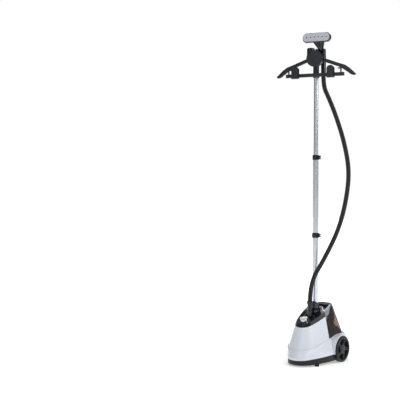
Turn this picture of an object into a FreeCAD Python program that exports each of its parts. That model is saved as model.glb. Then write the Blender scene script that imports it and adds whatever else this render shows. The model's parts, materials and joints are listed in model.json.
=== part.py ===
"""Garment steamer with a wheeled base, lift-off water tank, telescopic pole, hanger and steam head.

Millimetres, +Z up, -Y the nose with the steam dial, +X the wheel on the viewer's right when the nose faces left.
The origin lies on the floor in the middle of the part's box. Lengths in the base are measured from the pole's
axis, which stands at Y = pole_y, and those of the hanger along and in front of its own bar.
"""
import FreeCAD, Part
import math
import os
import Sketcher
from FreeCAD import Placement, Rotation, Vector

# ------------------------------------------------------------------ driving dimensions
SIZES = {
    # layout
    "pole_y": 10.0,
    "hanger_turn": 15.5,
    "fit_gap": 0.05,
    "part_gap": 0.4,
    # levels of the base: height at the pole's axis, and slope in degrees
    "pan_bottom_z": 14.5,
    "pan_bottom_slope": 2.3,
    "pan_top_z": 48.6,
    "pan_top_slope": 5.2,
    "hip_z": 62.0,
    "hip_slope": 5.5,
    "waist_z": 100.0,
    "foot_drop": 40.0,
    "foot_spread": 10.5,
    "ridge_z": 122.0,
    "ridge_slope": 13.5,
    "lip_z": 232.0,
    "lip_slope": 17.8,
    "rim_z": 257.0,
    "rim_slope": 21.8,
    "saddle_z": 135.0,
    "seam_y": -7.0,
    # walls and steps
    "shell_wall": 3.0,
    "pan_wall": 3.0,
    "tank_wall": 2.5,
    "lid_depth": 7.0,
    "terrace_step": 2.2,
    "tray_depth": 18.0,
    "trim_end_y": 41.0,
    "trim_end_z": 271.0,
    "tray_rim": 9.0,
    "column_radius": 31.0,
    # ramp under the tank
    "ramp_radius": 393.0,
    "ramp_slope": 19.47,
    "ramp_top_z": 212.5,
    # wheels and axle
    "wheel_radius": 64.0,
    "wheel_wide": 26.0,
    "wheel_face_x": 131.0,
    "wheel_y": 58.4,
    "tyre_deep": 5.0,
    "rim_deep": 6.0,
    "spoke_wide": 3.4,
    "spoke_gap": 6.8,
    "spoke_gap_at_rim": 3.2,
    "spoke_offset": 9.0,
    "dish_floor": 5.5,
    "hub_radius": 22.0,
    "well_gap": 3.0,
    "arch_deep": 5.0,
    "arch_x": 123.0,
    "axle_radius": 4.0,
    "hub_cap_radius": 16.0,
    "hub_square": 8.6,
    "hub_square_at": 10.9,
    # feet and gland
    "foot_x": 78.0,
    "foot_y": -108.0,
    "foot_radius": 11.0,
    "gland_x": 62.0,
    "gland_z": 40.0,
    "gland_radius": 6.0,
    # dial
    "dial_y": -102.0,
    "dial_tilt": 14.0,
    "dial_ring_radius": 20.0,
    "dial_cap_radius": 17.0,
    "dial_stem_radius": 5.0,
    # hose port
    "port_y": -49.5,
    "port_radius": 12.0,
    "port_bore_radius": 8.0,
    "port_top_z": 252.8,
    "dish_radius": 23.5,
    # pole socket
    "socket_cup_radius": 25.0,
    "socket_top_z": 268.0,
    "socket_floor_z": 205.0,
    "sleeve_radius": 20.0,
    # heater
    "heater_y": -60.0,
    "heater_z": 50.0,
    "heater_radius": 45.0,
    "heater_tall": 60.0,
    "port_bottom_z": 222.0,
    "dial_z": 213.6,
    "dish_z": 232.0,
    # boss, dock and lid
    "boss_radius": 33.0,
    "boss_bottom_z": 215.0,
    "ledge_z": 236.0,
    "recess_radius": 34.0,
    "lid_top_z": 280.0,
    "cap_y": 62.0,
    "cap_radius": 18.0,
    # loop handle of the tank
    "grip_wide": 38.0,
    "grip_thick": 14.0,
    "groove_wide": 1.4,
    "groove_deep": 1.4,
    "groove_at": 2.2,
    "root_wide": 100.0,
    # telescopic tubes
    "tube_wall": 1.2,
    "lower_tube_radius": 14.5,
    "middle_tube_radius": 13.0,
    "upper_tube_radius": 11.0,
    "lower_tube_top_z": 642.0,
    "middle_tube_shows": 392.0,
    "upper_tube_shows": 466.0,
    "tube_overlap": 60.0,
    "collar_tall": 25.0,
    "collar_wall": 3.5,
    "lever_long": 22.0,
    "lever_pin_radius": 1.5,
    # hanger
    "hub_rise": 19.0,
    "hub_disc_radius": 41.5,
    "hub_disc_thick": 14.0,
    "hub_body_radius": 15.0,
    "hub_drop": 95.0,
    "drum_radius": 19.5,
    "drum_rise": 54.0,
    "drum_s": -25.0,
    "arm_front": 8.0,
    "arm_thick": 11.0,
    "arm_pivot_s": 28.0,
    "pivot_drop": 2.0,
    "arm_span": 203.0,
    "arm_drop": 86.0,
    "bar_drop": 92.0,
    "bar_tall": 18.0,
    "bar_thick": 8.0,
    "bar_front": 25.0,
    "bar_left_s": -150.0,
    "bar_right_s": 150.0,
    "clip_left_s": -101.0,
    "clip_right_s": 81.0,
    "clip_wide": 36.0,
    "clip_rise": 57.0,
    "clip_drop": 5.0,
    # steam head
    "head_rise": 105.0,
    "head_wide": 144.0,
    "head_tall": 48.0,
    "head_front": 14.0,
    "head_deep": 22.0,
    "head_s": 5.0,
    "plate_thick": 3.0,
    "plate_wide": 136.0,
    "plate_tall": 41.0,
    "plate_shift": -2.0,
    "plate_lift": 2.0,
    "hole_radius": 2.8,
    "hole_pitch": 20.0,
    "handle_s": 24.0,
    "handle_front": -48.0,
    "handle_radius": 12.5,
    "handle_rise": 53.0,
    "handle_long": 130.0,
    "throat_left": 22.0,
    "throat_right": 37.0,
    "throat_deep": 18.0,
    # hose
    "hose_radius": 11.0,
    "cuff_top_z": 306.0,
    "cuff_radius": 16.0,
}

# plan outlines of the base, measured along each level from the pole's axis: the nose and its radius, the radius
# of the long sides, the centre of the rear corners, the rear wall and the radius of its corners
OUTLINE_PARTS = ("nose", "nose_radius", "side_radius", "corner_x", "rear", "corner_radius")
OUTLINES = {
    "pan_bottom": (-186.0, 76.0, 457.0, 66.0, 160.0, 46.0),
    "pan_top": (-193.0, 66.0, 406.0, 69.0, 168.0, 48.0),
    "hip": (-197.0, 68.0, 415.0, 69.0, 172.0, 50.0),
    "ridge": (-187.0, 84.0, 1985.0, 62.0, 149.0, 26.0),
    "waist": (-173.5, 77.0, 806.0, 69.0, 152.0, 24.0),
    "lip": (-150.0, 49.0, 582.0, 42.0, 95.6, 22.0),
    "rim": (-143.0, 46.0, 560.0, 34.0, 86.5, 20.0),
}
for level, lengths in OUTLINES.items():
    for part_name, length in zip(OUTLINE_PARTS, lengths):
        SIZES[level + "_" + part_name] = length


class Size:
    """A length or angle that knows its number and the spreadsheet expression it comes from."""

    def __init__(self, number, words):
        self.number = float(number)
        self.words = words

    def __float__(self):
        return self.number

    def __add__(self, other):
        return Size(self.number + float(other), "(%s + %s)" % (self.words, words(other)))

    def __radd__(self, other):
        return Size(float(other) + self.number, "(%s + %s)" % (words(other), self.words))

    def __sub__(self, other):
        return Size(self.number - float(other), "(%s - %s)" % (self.words, words(other)))

    def __rsub__(self, other):
        return Size(float(other) - self.number, "(%s - %s)" % (words(other), self.words))

    def __mul__(self, other):
        return Size(self.number * float(other), "(%s * %s)" % (self.words, words(other)))

    def __rmul__(self, other):
        return self * other

    def __truediv__(self, other):
        return Size(self.number / float(other), "(%s / %s)" % (self.words, words(other)))

    def __neg__(self):
        return Size(-self.number, "(0 - %s)" % self.words)


def words(value):
    """The expression of a size, or the plain number."""
    return value.words if isinstance(value, Size) else repr(float(value))


doc = FreeCAD.newDocument("GarmentSteamer")
sheet = doc.addObject("Spreadsheet::Sheet", "Sizes")
for row, (alias, number) in enumerate(SIZES.items(), start=1):
    sheet.set("A%d" % row, alias)
    sheet.set("B%d" % row, str(number))
    sheet.setAlias("B%d" % row, alias)
doc.recompute()
S = {alias: Size(sheet.get(alias), "Sizes." + alias) for alias in SIZES}

# ------------------------------------------------------------------ helpers
NODES = {}
X_AXIS = Vector(1, 0, 0)
Y_AXIS = Vector(0, 1, 0)
Z_AXIS = Vector(0, 0, 1)


def node(name, shape_object):
    """Name a finished sub-part: the label is the node's and the STEP file's name."""
    shape_object.Label = name
    NODES[name] = shape_object
    return shape_object


def bind(shape_object, path, value):
    if isinstance(value, Size):
        shape_object.setExpression(path, value.words)


def place(shape_object, x=0, y=0, z=0, turn=None):
    """Put an object at a point, turned by a Rotation if one is given."""
    shape_object.Placement = Placement(Vector(float(x), float(y), float(z)), turn or Rotation())
    bind(shape_object, "Placement.Base.x", x)
    bind(shape_object, "Placement.Base.y", y)
    bind(shape_object, "Placement.Base.z", z)
    return shape_object


def box(name, x, y, z, long, wide, tall, turn=None):
    shape = doc.addObject("Part::Box", name)
    for key, value in (("Length", long), ("Width", wide), ("Height", tall)):
        setattr(shape, key, float(value))
        bind(shape, key, value)
    return place(shape, x, y, z, turn)


def cylinder(name, radius, height, x=0, y=0, z=0, turn=None):
    shape = doc.addObject("Part::Cylinder", name)
    shape.Radius = float(radius)
    shape.Height = float(height)
    bind(shape, "Radius", radius)
    bind(shape, "Height", height)
    return place(shape, x, y, z, turn)


def cut(name, base, *tools):
    shape = doc.addObject("Part::Cut", name)
    shape.Base = base
    shape.Tool = tools[0] if len(tools) == 1 else fuse(name + "_tools", *tools)
    return shape


def fuse(name, *shapes):
    shape = doc.addObject("Part::MultiFuse", name)
    shape.Shapes = list(shapes)
    return shape


def common(name, *shapes):
    shape = doc.addObject("Part::MultiCommon", name)
    shape.Shapes = list(shapes)
    return shape


def rounded(name, base, radius, choose):
    """Fillet the edges of an object that choose(edge) accepts."""
    doc.recompute()
    edges = [i for i, edge in enumerate(base.Shape.Edges, start=1) if choose(edge)]
    shape = doc.addObject("Part::Fillet", name)
    shape.Base = base
    shape.Edges = [(i, float(radius), float(radius)) for i in edges]
    return shape


def body(name):
    return doc.addObject("PartDesign::Body", name)


def sketch(owner, name, role="XY_Plane", x=0, y=0, z=0, turn=None):
    """A sketch on one of the body's own origin planes, moved and turned in that plane's axes."""
    plane = [feature for feature in owner.Origin.OriginFeatures if feature.Role == role][0]
    drawing = owner.newObject("Sketcher::SketchObject", name)
    drawing.AttachmentSupport = [(plane, "")]
    drawing.MapMode = "FlatFace"
    drawing.AttachmentOffset = Placement(Vector(float(x), float(y), float(z)), turn or Rotation())
    bind(drawing, "AttachmentOffset.Base.x", x)
    bind(drawing, "AttachmentOffset.Base.y", y)
    bind(drawing, "AttachmentOffset.Base.z", z)
    return drawing


def fix(drawing, kind, *where):
    """Add a constraint whose last argument is a size, and bind it to the sheet."""
    value = where[-1]
    index = drawing.addConstraint(Sketcher.Constraint(kind, *where[:-1], float(value)))
    bind(drawing, "Constraints[%d]" % index, value)


def polygon(drawing, points):
    """A closed outline of straight sides whose corners are bound to the sheet."""
    first = drawing.GeometryCount
    count = len(points)
    corners = [Vector(float(x), float(y), 0) for x, y in points]
    for i in range(count):
        drawing.addGeometry(Part.LineSegment(corners[i], corners[(i + 1) % count]))
    for i in range(count):
        drawing.addConstraint(Sketcher.Constraint("Coincident", first + i, 2, first + (i + 1) % count, 1))
    for i, (x, y) in enumerate(points):
        fix_point(drawing, first + i, x, y)
    return drawing


def fix_point(drawing, edge, x, y):
    for value, kind, axis in ((x, "DistanceX", -2), (y, "DistanceY", -1)):
        if float(value) == 0:
            drawing.addConstraint(Sketcher.Constraint("PointOnObject", edge, 1, axis))
        else:
            fix(drawing, kind, -1, 1, edge, 1, value)


def circle(drawing, radius, x=0, y=0):
    edge = drawing.addGeometry(Part.Circle(Vector(float(x), float(y), 0), Z_AXIS, float(radius)))
    fix(drawing, "Radius", edge, radius)
    for value, kind, axis in ((x, "DistanceX", -2), (y, "DistanceY", -1)):
        if float(value) == 0:
            drawing.addConstraint(Sketcher.Constraint("PointOnObject", edge, 3, axis))
        else:
            fix(drawing, kind, -1, 1, edge, 3, value)


def revolve(owner, drawing, name):
    whole = owner.newObject("PartDesign::Revolution", name)
    whole.Profile = drawing
    whole.ReferenceAxis = (drawing, ["V_Axis"])
    whole.Angle = 360
    return whole


def pad(owner, drawing, name, length, middle=False, back=False):
    block = owner.newObject("PartDesign::Pad", name)
    block.Profile = drawing
    block.Length = float(length)
    bind(block, "Length", length)
    block.Midplane = middle
    block.Reversed = back
    return block


def turned(name, profile, x=0, y=0, z=0, turn=None):
    """A round piece: a profile of (radius, height) corners turned about its own Z axis."""
    owner = body(name + "_body")
    drawing = polygon(sketch(owner, name + "_profile", "XZ_Plane"), profile)
    revolve(owner, drawing, name + "_turn")
    return place(owner, x, y, z, turn)


def tube(name, radius, bore, low, high, x=0, y=0, z=0, turn=None):
    return turned(name, [(bore, low), (radius, low), (radius, high), (bore, high)], x, y, z, turn)


def rounded_path(points, radii):
    """Straight runs joined by tangent arcs: the edges of one wire, and the wire's length."""
    edges = []
    start = points[0]
    for i in range(1, len(points) - 1):
        before = (points[i] - points[i - 1]).normalize()
        after = (points[i + 1] - points[i]).normalize()
        half = before.getAngle(after) / 2
        reach = radii[i - 1] * math.tan(half)
        first, last = points[i] - before * reach, points[i] + after * reach
        inward = (after - before).normalize()
        middle = points[i] + inward * (radii[i - 1] / math.cos(half) - radii[i - 1])
        edges.append(Part.LineSegment(start, first).toShape())
        edges.append(Part.Arc(first, middle, last).toShape())
        start = last
    edges.append(Part.LineSegment(start, points[-1]).toShape())
    return Part.Wire(edges)


# ------------------------------------------------------------------ plan outlines of the base
class Outline:
    """An egg-shaped plan: a nose arc, two long side arcs, two rear corner arcs and a straight rear wall."""

    def __init__(self, level, inset=0):
        nose, nose_r, side_r, corner_x, rear, corner_r = [S[level + "_" + name] for name in OUTLINE_PARTS]
        self.values = (nose + inset, nose_r - inset, side_r - inset, corner_x, rear - inset, corner_r - inset)

    def draw(self, drawing):
        nose, nose_r, side_r, corner_x, rear, corner_r = [float(value) for value in self.values]
        nose_c = Vector(0, nose + nose_r, 0)
        corner_c = Vector(corner_x, rear - corner_r, 0)
        side_c = inner_tangent_centre(nose_c, side_r - nose_r, corner_c, side_r - corner_r)
        nose_end = nose_c + (nose_c - side_c).normalize() * nose_r
        side_end = corner_c + (corner_c - side_c).normalize() * corner_r
        rear_end = Vector(corner_x, rear, 0)
        mirror = lambda point: Vector(-point.x, point.y, 0)
        arc(drawing, nose_c, nose_r, mirror(nose_end), nose_end)
        arc(drawing, side_c, side_r, nose_end, side_end)
        arc(drawing, corner_c, corner_r, side_end, rear_end)
        drawing.addGeometry(Part.LineSegment(rear_end, mirror(rear_end)))
        arc(drawing, mirror(corner_c), corner_r, mirror(rear_end), mirror(side_end))
        arc(drawing, mirror(side_c), side_r, mirror(side_end), mirror(nose_end))
        for i in range(6):
            drawing.addConstraint(Sketcher.Constraint("Coincident", i, 2, (i + 1) % 6, 1))
        nose, nose_r, side_r, corner_x, rear, corner_r = self.values
        for edge, radius in ((0, nose_r), (1, side_r), (2, corner_r), (4, corner_r), (5, side_r)):
            fix(drawing, "Radius", edge, radius)
        return drawing


def inner_tangent_centre(point_a, reach_a, point_b, reach_b):
    """The centre, on the -X side, at reach_a from point_a and reach_b from point_b."""
    along = point_b - point_a
    span = along.Length
    foot = (reach_a ** 2 - reach_b ** 2 + span ** 2) / (2 * span)
    height = math.sqrt(reach_a ** 2 - foot ** 2)
    side = Vector(-along.y, along.x, 0).normalize()
    return point_a + along * (foot / span) + side * height


def arc(drawing, centre, radius, start, end):
    """An arc run anticlockwise from start to end."""
    first = math.atan2(start.y - centre.y, start.x - centre.x)
    last = math.atan2(end.y - centre.y, end.x - centre.x)
    if last < first:
        last += 2 * math.pi
    return drawing.addGeometry(Part.ArcOfCircle(Part.Circle(centre, Z_AXIS, radius), first, last))



def level_sketch(owner, level, inset=0, outline=None, lift=0):
    """A level's outline on its own sloping plane through the pole's axis."""
    slope = S[level + "_slope"] if level + "_slope" in S else 0
    tilt = Rotation(X_AXIS, float(slope))
    name = "%s_%s" % (owner.Name, level)
    drawing = sketch(owner, name, "XY_Plane", 0, S["pole_y"], S[level + "_z"] + lift, tilt)
    bind(drawing, "AttachmentOffset.Rotation.Angle", slope)
    return Outline(outline or level, inset).draw(drawing)


def form(name, levels, inset=0, lifts=(0, 0, 0)):
    """A ruled form through the outlines of two or three levels, drawn in by a wall's thickness."""
    owner = body(name)
    drawings = [level_sketch(owner, level, inset, None, lift) for level, lift in zip(levels, lifts)]
    loft = owner.newObject("PartDesign::AdditiveLoft", name + "_loft")
    loft.Profile = drawings[0]
    loft.Sections = drawings[1:]
    loft.Ruled = True
    return owner


def side_prism(name, points, half_width):
    """A profile of (y from the pole, z) corners run across the base to both sides."""
    owner = body(name)
    drawing = polygon(sketch(owner, name + "_profile", "YZ_Plane"), [(S["pole_y"] + y, z) for y, z in points])
    pad(owner, drawing, name + "_run", half_width * 2, middle=True)
    return owner


# ------------------------------------------------------------------ casing of the base
FAR = 400.0
WIDE = S["wheel_face_x"] + 40
ALONG_X = Rotation(Y_AXIS, 90)


def ridge_height(y):
    """The height of the ridge plane over a distance y from the pole."""
    return S["ridge_z"] + y * math.tan(math.radians(float(S["ridge_slope"])))


def tank_space(name, seam, lift):
    """The room behind the seam and above the saddle, which rises with the ridge and then runs level."""
    level_from = (S["saddle_z"] - S["ridge_z"]) / math.tan(math.radians(float(S["ridge_slope"])))
    points = [(seam, ridge_height(seam) + lift), (level_from, S["saddle_z"] + lift), (FAR, S["saddle_z"] + lift),
              (FAR, FAR), (seam, FAR)]
    return side_prism(name, points, WIDE)


def across(name, radius, low_x, high_x, y, z):
    """A cylinder that lies along X."""
    return cylinder(name, radius, high_x - low_x, low_x, S["pole_y"] + y, z, ALONG_X)


def over(name, level, lift=0, reach=300):
    """Everything above a level's sloping plane."""
    rise = math.tan(math.radians(float(S[level + "_slope"]))) * reach
    low, high = S[level + "_z"] + lift - rise, S[level + "_z"] + lift + rise
    return side_prism(name, [(-reach, low), (reach, high), (reach, 700), (-reach, 700)], FAR)


wheel_z = S["wheel_radius"]
well_radius = S["wheel_radius"] + S["well_gap"]
well_x = S["wheel_face_x"] - S["wheel_wide"] - 3
wells = fuse("wheel_wells",
             across("well_right", well_radius, well_x, WIDE, S["wheel_y"], wheel_z),
             across("well_left", well_radius, -WIDE, -well_x, S["wheel_y"], wheel_z))
liner_radius = well_radius + S["shell_wall"]
liner_x = well_x - S["shell_wall"]
liners = fuse("wheel_liners",
              across("liner_right", liner_radius, liner_x, WIDE, S["wheel_y"], wheel_z),
              across("liner_left", liner_radius, -WIDE, -liner_x, S["wheel_y"], wheel_z))



def upper_foot(name, inset):
    """The upper form's walls run on below the waist, down to the ridge."""
    owner = body(name)
    low = level_sketch(owner, "waist", inset - S["foot_spread"], None, -S["foot_drop"])
    high = level_sketch(owner, "waist", inset)
    loft = owner.newObject("PartDesign::AdditiveLoft", name + "_loft")
    loft.Profile = low
    loft.Sections = [high]
    loft.Ruled = True
    return owner


upper = form("upper_form", ("waist", "lip"))
hips = form("hip_form", ("pan_top", "hip", "ridge"))
arch = across("arch_form", well_radius + S["arch_deep"], -S["arch_x"], S["arch_x"], S["wheel_y"], wheel_z)
above_pan = form("above_pan", ("pan_top", "lip"), -60)
arch_above = common("arch_above", arch, above_pan)
near_ridge = over("near_ridge", "ridge", -5)
foot_above = common("foot_above", upper_foot("foot_form", 0), near_ridge)
casing = fuse("casing_form", upper, foot_above, hips, arch_above)
upper_inside = form("upper_inside", ("waist", "lip"), S["shell_wall"], (0, 1))
hips_inside = form("hips_inside", ("pan_top", "hip", "ridge"), S["shell_wall"], (-1, 0, 0))
foot_inside = common("foot_inside", upper_foot("foot_inside_form", S["shell_wall"]), near_ridge)
inside_all = fuse("inside_all", upper_inside, foot_inside, hips_inside)
cavity = cut("casing_cavity", inside_all, tank_space("roof", S["seam_y"] - S["shell_wall"], -S["shell_wall"]),
             liners)
shell_open = cut("shell_open", casing, tank_space("tank_room", S["seam_y"], 0), cavity, wells)

pan_form = form("pan_form", ("pan_bottom", "pan_top"))
pan_inside = form("pan_inside", ("pan_bottom", "pan_top"), S["pan_wall"], (S["pan_wall"], 1))
pan_cavity = cut("pan_cavity", pan_inside, liners)
pan_open = cut("pan_open", pan_form, pan_cavity, wells)


# pan: a boss for the heater and two posts that carry the axle; casing: holes for the axle and the pole's boss
POLE = S["pole_y"]
gap = S["part_gap"]
heater_boss = cylinder("heater_boss", 20, S["heater_z"] - 13, 0, POLE + S["heater_y"], 13)
post_low = common("post_low", pan_form, box("post_block", -96, POLE + S["wheel_y"] - 8, 0, 192, 16, 60))
posts = cut("axle_posts", fuse("post_all", post_low, box("post_top", -96, POLE + S["wheel_y"] - 8, 40, 192, 16, 34)),
            box("post_between", -84, POLE, 0, 168, 100, 90))
axle_hole = across("axle_hole", S["axle_radius"] + S["fit_gap"], -WIDE, WIDE, S["wheel_y"], wheel_z)
screw_spots = ((50, -120), (-50, -120), (62, 105), (-62, 105))
pan_holes = [cylinder("screw_hole_%d" % i, 1.9, 60, x, POLE + y, 0) for i, (x, y) in enumerate(screw_spots)]
pan_posts = [common("screw_post_%d" % i, pan_form, cylinder("screw_pillar_%d" % i, 5, 60, x, POLE + y, 0))
             for i, (x, y) in enumerate(screw_spots)]
pan_sum = fuse("pan_sum", pan_open, heater_boss, posts, *pan_posts)
sinks = [cylinder("screw_sink_%d" % i, 3.8, 26, x, POLE + y, 0) for i, (x, y) in enumerate(screw_spots)]
node("base_pan", cut("pan", pan_sum, axle_hole, *pan_holes, *sinks))
boss_room = cylinder("boss_room", S["boss_radius"] + gap, 120, 0, POLE, S["boss_bottom_z"] - gap)
axle_room = across("axle_room", S["axle_radius"] + 1, -WIDE, WIDE, S["wheel_y"], wheel_z)
socket_way = cylinder("socket_way", 19, 60, 0, POLE, S["socket_floor_z"] - 5.4)
node("body_shell", cut("shell", shell_open, boss_room, socket_way, axle_room))

screw_list = []
for i, (x, y) in enumerate(screw_spots):
    screw_list.append(turned("screw_%d" % i, [(0, 23.5), (3.5, 23.5), (3.5, 26), (1.85, 26), (1.85, 46), (0, 46)], x, POLE + y, 0))
node("pan_screws", fuse("screws", *screw_list))

foot_pads = [cylinder("foot_pad_%d" % i, S["foot_radius"], 13, x, POLE + S["foot_y"], 0)
             for i, x in enumerate((S["foot_x"], -S["foot_x"]))]
node("front_feet", cut("feet", fuse("foot_pair", *foot_pads), pan_form))

gland_bar = fuse("gland_bar", cylinder("gland_body", S["gland_radius"], 32, S["gland_x"], POLE + 144, S["gland_z"],
                                       Rotation(X_AXIS, -90)),
                 cylinder("gland_ring", S["gland_radius"] + 2, 3, S["gland_x"], POLE + 171, S["gland_z"],
                          Rotation(X_AXIS, -90)))
gland_bore = cylinder("gland_bore", 3, 60, S["gland_x"], POLE + 140, S["gland_z"], Rotation(X_AXIS, -90))
node("cord_gland", cut("gland", gland_bar, pan_form, gland_bore))

node("wheel_axle", across("axle", S["axle_radius"], -(S["wheel_face_x"] - 6), S["wheel_face_x"] - 6,
                          S["wheel_y"], wheel_z))

# heater and its steam pipe up to the hose port
heater_top = S["heater_z"] + S["heater_tall"]
node("heater", turned("heater_body", [(0, S["heater_z"]), (41, S["heater_z"]), (S["heater_radius"], S["heater_z"] + 4),
                                      (S["heater_radius"], S["heater_z"] + 30), (48, S["heater_z"] + 30),
                                      (48, S["heater_z"] + 34), (S["heater_radius"], S["heater_z"] + 34),
                                      (S["heater_radius"], heater_top - 6), (38, heater_top), (0, heater_top)],
                      0, POLE + S["heater_y"], 0))
node("steam_pipe", tube("pipe", 6, 4, heater_top, S["port_bottom_z"], 0, POLE + S["port_y"], 0))


# ------------------------------------------------------------------ deck, seen from above as a tongue
DECK_LEVELS = 3
RIM_TURN = Rotation(X_AXIS, float(S["rim_slope"]))
DIAL_TURN = Rotation(X_AXIS, float(S["dial_tilt"]))


def deck_plane(owner, share, inset, lift):
    """The lip's outline, drawn in, on a plane that lies between the lip's plane and the rim's."""
    height = S["lip_z"] + (S["rim_z"] - S["lip_z"]) * share + lift
    slope = S["lip_slope"] + (S["rim_slope"] - S["lip_slope"]) * share
    drawing = sketch(owner, "%s_%d" % (owner.Name, 100 * share), "XY_Plane", 0, POLE, height,
                     Rotation(X_AXIS, float(slope)))
    bind(drawing, "AttachmentOffset.Rotation.Angle", slope)
    return Outline("lip", inset).draw(drawing)


def terrace(name, low, high, inset, lift_low=0, lift_high=0):
    """One step of the stepped rim."""
    owner = body(name)
    drawings = [deck_plane(owner, low, inset, lift_low), deck_plane(owner, high, inset, lift_high)]
    loft = owner.newObject("PartDesign::AdditiveLoft", name + "_loft")
    loft.Profile = drawings[0]
    loft.Sections = drawings[1:]
    loft.Ruled = True
    return owner


steps = [terrace("terrace_%d" % i, i / DECK_LEVELS, (i + 1) / DECK_LEVELS, S["terrace_step"] * i)
         for i in range(DECK_LEVELS)]
stack = fuse("terraces", *steps)
dial_at = POLE + S["dial_y"]
dial_lean = math.radians(float(S["dial_tilt"]))
port_at = POLE + S["port_y"]
pole_boss = cylinder("pole_boss", S["boss_radius"], 80, 0, POLE, S["boss_bottom_z"])
kept = [cylinder("dial_boss", S["dial_ring_radius"] + 4, 60, 0, dial_at, S["dial_z"] - 6, DIAL_TURN),
        cylinder("port_boss", S["dish_radius"] + 3, 80, 0, port_at, S["port_bottom_z"] - 20)]
deck_hollow = cut("deck_hollow", terrace("deck_inside", 0, 1, S["terrace_step"] * 2 + 3, -1, -3), pole_boss, *kept)
boss_low = cut("boss_low", pole_boss, over("above_rim", "rim"))
behind_seam = cut("behind_seam", box("behind_block", -FAR, POLE + S["seam_y"], 0, 2 * FAR, FAR, 2 * FAR), pole_boss)
slot = box("deck_slot", -45, POLE - 70, -6, 9, 50, 20)
slot = place(slot, -45, POLE - 70, 257 - 70 * 0.4 - 6, RIM_TURN)
dish = cylinder("dish", S["dish_radius"], 40, 0, port_at, S["dish_z"], RIM_TURN)
notch = cylinder("dish_notch", 5, 40, 0, port_at - 21.5, S["dish_z"] - 8.6, RIM_TURN)
holes = [cylinder("dial_pocket", S["dial_ring_radius"] + 0.6, 40, 0, dial_at, S["dial_z"], DIAL_TURN),
         cylinder("dial_bore", S["dial_stem_radius"] + S["fit_gap"], 60, 0, dial_at + 30 * math.sin(dial_lean),
                  S["dial_z"] - 30 * math.cos(dial_lean), DIAL_TURN),
         cylinder("port_bore", S["port_radius"] + S["fit_gap"], 40, 0, port_at, S["port_bottom_z"]),
         cylinder("pipe_bore", 6.3, 30, 0, port_at, S["port_bottom_z"] - 25),
         cylinder("socket_bore_low", 18.6, 30, 0, POLE, S["boss_bottom_z"] - 5),
         cylinder("socket_bore", S["socket_cup_radius"] + 0.1, 60, 0, POLE, S["ledge_z"]),
         cylinder("socket_bore_top", S["socket_cup_radius"] + 1.8, 60, 0, POLE, S["ledge_z"] + 14.9)]
deck_all = fuse("deck_all", cut("deck_top", stack, deck_hollow), boss_low)
node("deck_cover", cut("deck", deck_all, behind_seam, dish, notch, slot, *holes))

# steam dial: a ring with a stem, and the cap set into it
dial_stem = S["dial_stem_radius"]
ring_r, cap_r = S["dial_ring_radius"], S["dial_cap_radius"]
node("dial_ring", turned("dial_ring_body", [(0, -14), (dial_stem, -14), (dial_stem, 0.6), (ring_r - 1, 0.6),
                                            (ring_r, 1.6), (ring_r, 15.6), (ring_r - 1.6, 17.2), (cap_r, 17.2),
                                            (cap_r, 12), (0, 12)], 0, dial_at, S["dial_z"], DIAL_TURN))
node("dial_cap", turned("dial_cap_body", [(0, 12), (cap_r, 12), (cap_r, 17.2), (cap_r - 1.4, 18.2),
                                          (cap_r - 4, 18.4), (cap_r - 5, 17.9), (0, 17.9)],
                        0, dial_at, S["dial_z"], DIAL_TURN))

# hose port and the pole's socket
port_r, bore_r = S["port_radius"], S["port_bore_radius"]
port_low, port_high = S["port_bottom_z"], S["port_top_z"]
node("hose_port", turned("port_body", [(4, port_low), (port_r, port_low), (port_r, port_high - 13.3),
                                       (port_r - 1.6, port_high - 13.3), (port_r - 1.6, port_high - 11.8),
                                       (port_r, port_high - 11.8), (port_r, port_high - 8.3),
                                       (port_r - 1.6, port_high - 8.3), (port_r - 1.6, port_high - 6.8),
                                       (port_r, port_high - 6.8), (port_r, port_high), (bore_r, port_high), (bore_r, port_low + 6), (4, port_low + 6)],
                         0, port_at, 0))
pole_bore = S["lower_tube_radius"] + S["fit_gap"]
floor_z, ledge, socket_top = S["socket_floor_z"], S["ledge_z"], S["socket_top_z"]
cup_r, sleeve_r = S["socket_cup_radius"], S["sleeve_radius"]
node("pole_socket", turned("socket_body", [(0, floor_z - 5), (18.5, floor_z - 5), (18.5, ledge),
                                           (cup_r, ledge), (cup_r, ledge + 15), (cup_r + 1.6, ledge + 15),
                                           (cup_r + 1.6, ledge + 22), (cup_r + 0.5, ledge + 22),
                                           (cup_r - 1, socket_top), (sleeve_r + 0.05, socket_top),
                                           (sleeve_r + 0.05, socket_top - 6), (pole_bore, socket_top - 6),
                                           (pole_bore, floor_z), (0, floor_z)],
                           0, POLE, 0))
mouth = side_prism("mouth_slant", [(-60, socket_top + 51), (60, socket_top), (60, socket_top + 132),
                                   (-60, socket_top + 132)], 60)
node("socket_sleeve", cut("sleeve", turned("sleeve_body", [(pole_bore, socket_top - 6), (sleeve_r, socket_top - 6),
                                                           (sleeve_r, socket_top + 42),
                                                           (sleeve_r - 2.5, socket_top + 42),
                                                           (sleeve_r - 2.5, socket_top + 16),
                                                           (pole_bore, socket_top + 10)], 0, POLE, 0), mouth))

# ------------------------------------------------------------------ water tank and the saddle it stands on
seam = S["seam_y"]
ramp_y = seam - S["ramp_radius"] * math.sin(math.radians(float(S["ramp_slope"])))
ramp_z = S["ramp_top_z"] - S["ramp_radius"] * math.cos(math.radians(float(S["ramp_slope"])))


def ramp_at(name, lift):
    """The curved ramp that falls from the seam to the back, raised by lift."""
    return across(name, S["ramp_radius"] + lift, -WIDE, WIDE, ramp_y, ramp_z)


def ramp_height(y):
    """The height of the ramp over a distance y behind the pole."""
    return float(ramp_z) + math.sqrt(float(S["ramp_radius"]) ** 2 - (float(y) - float(ramp_y)) ** 2)


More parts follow.
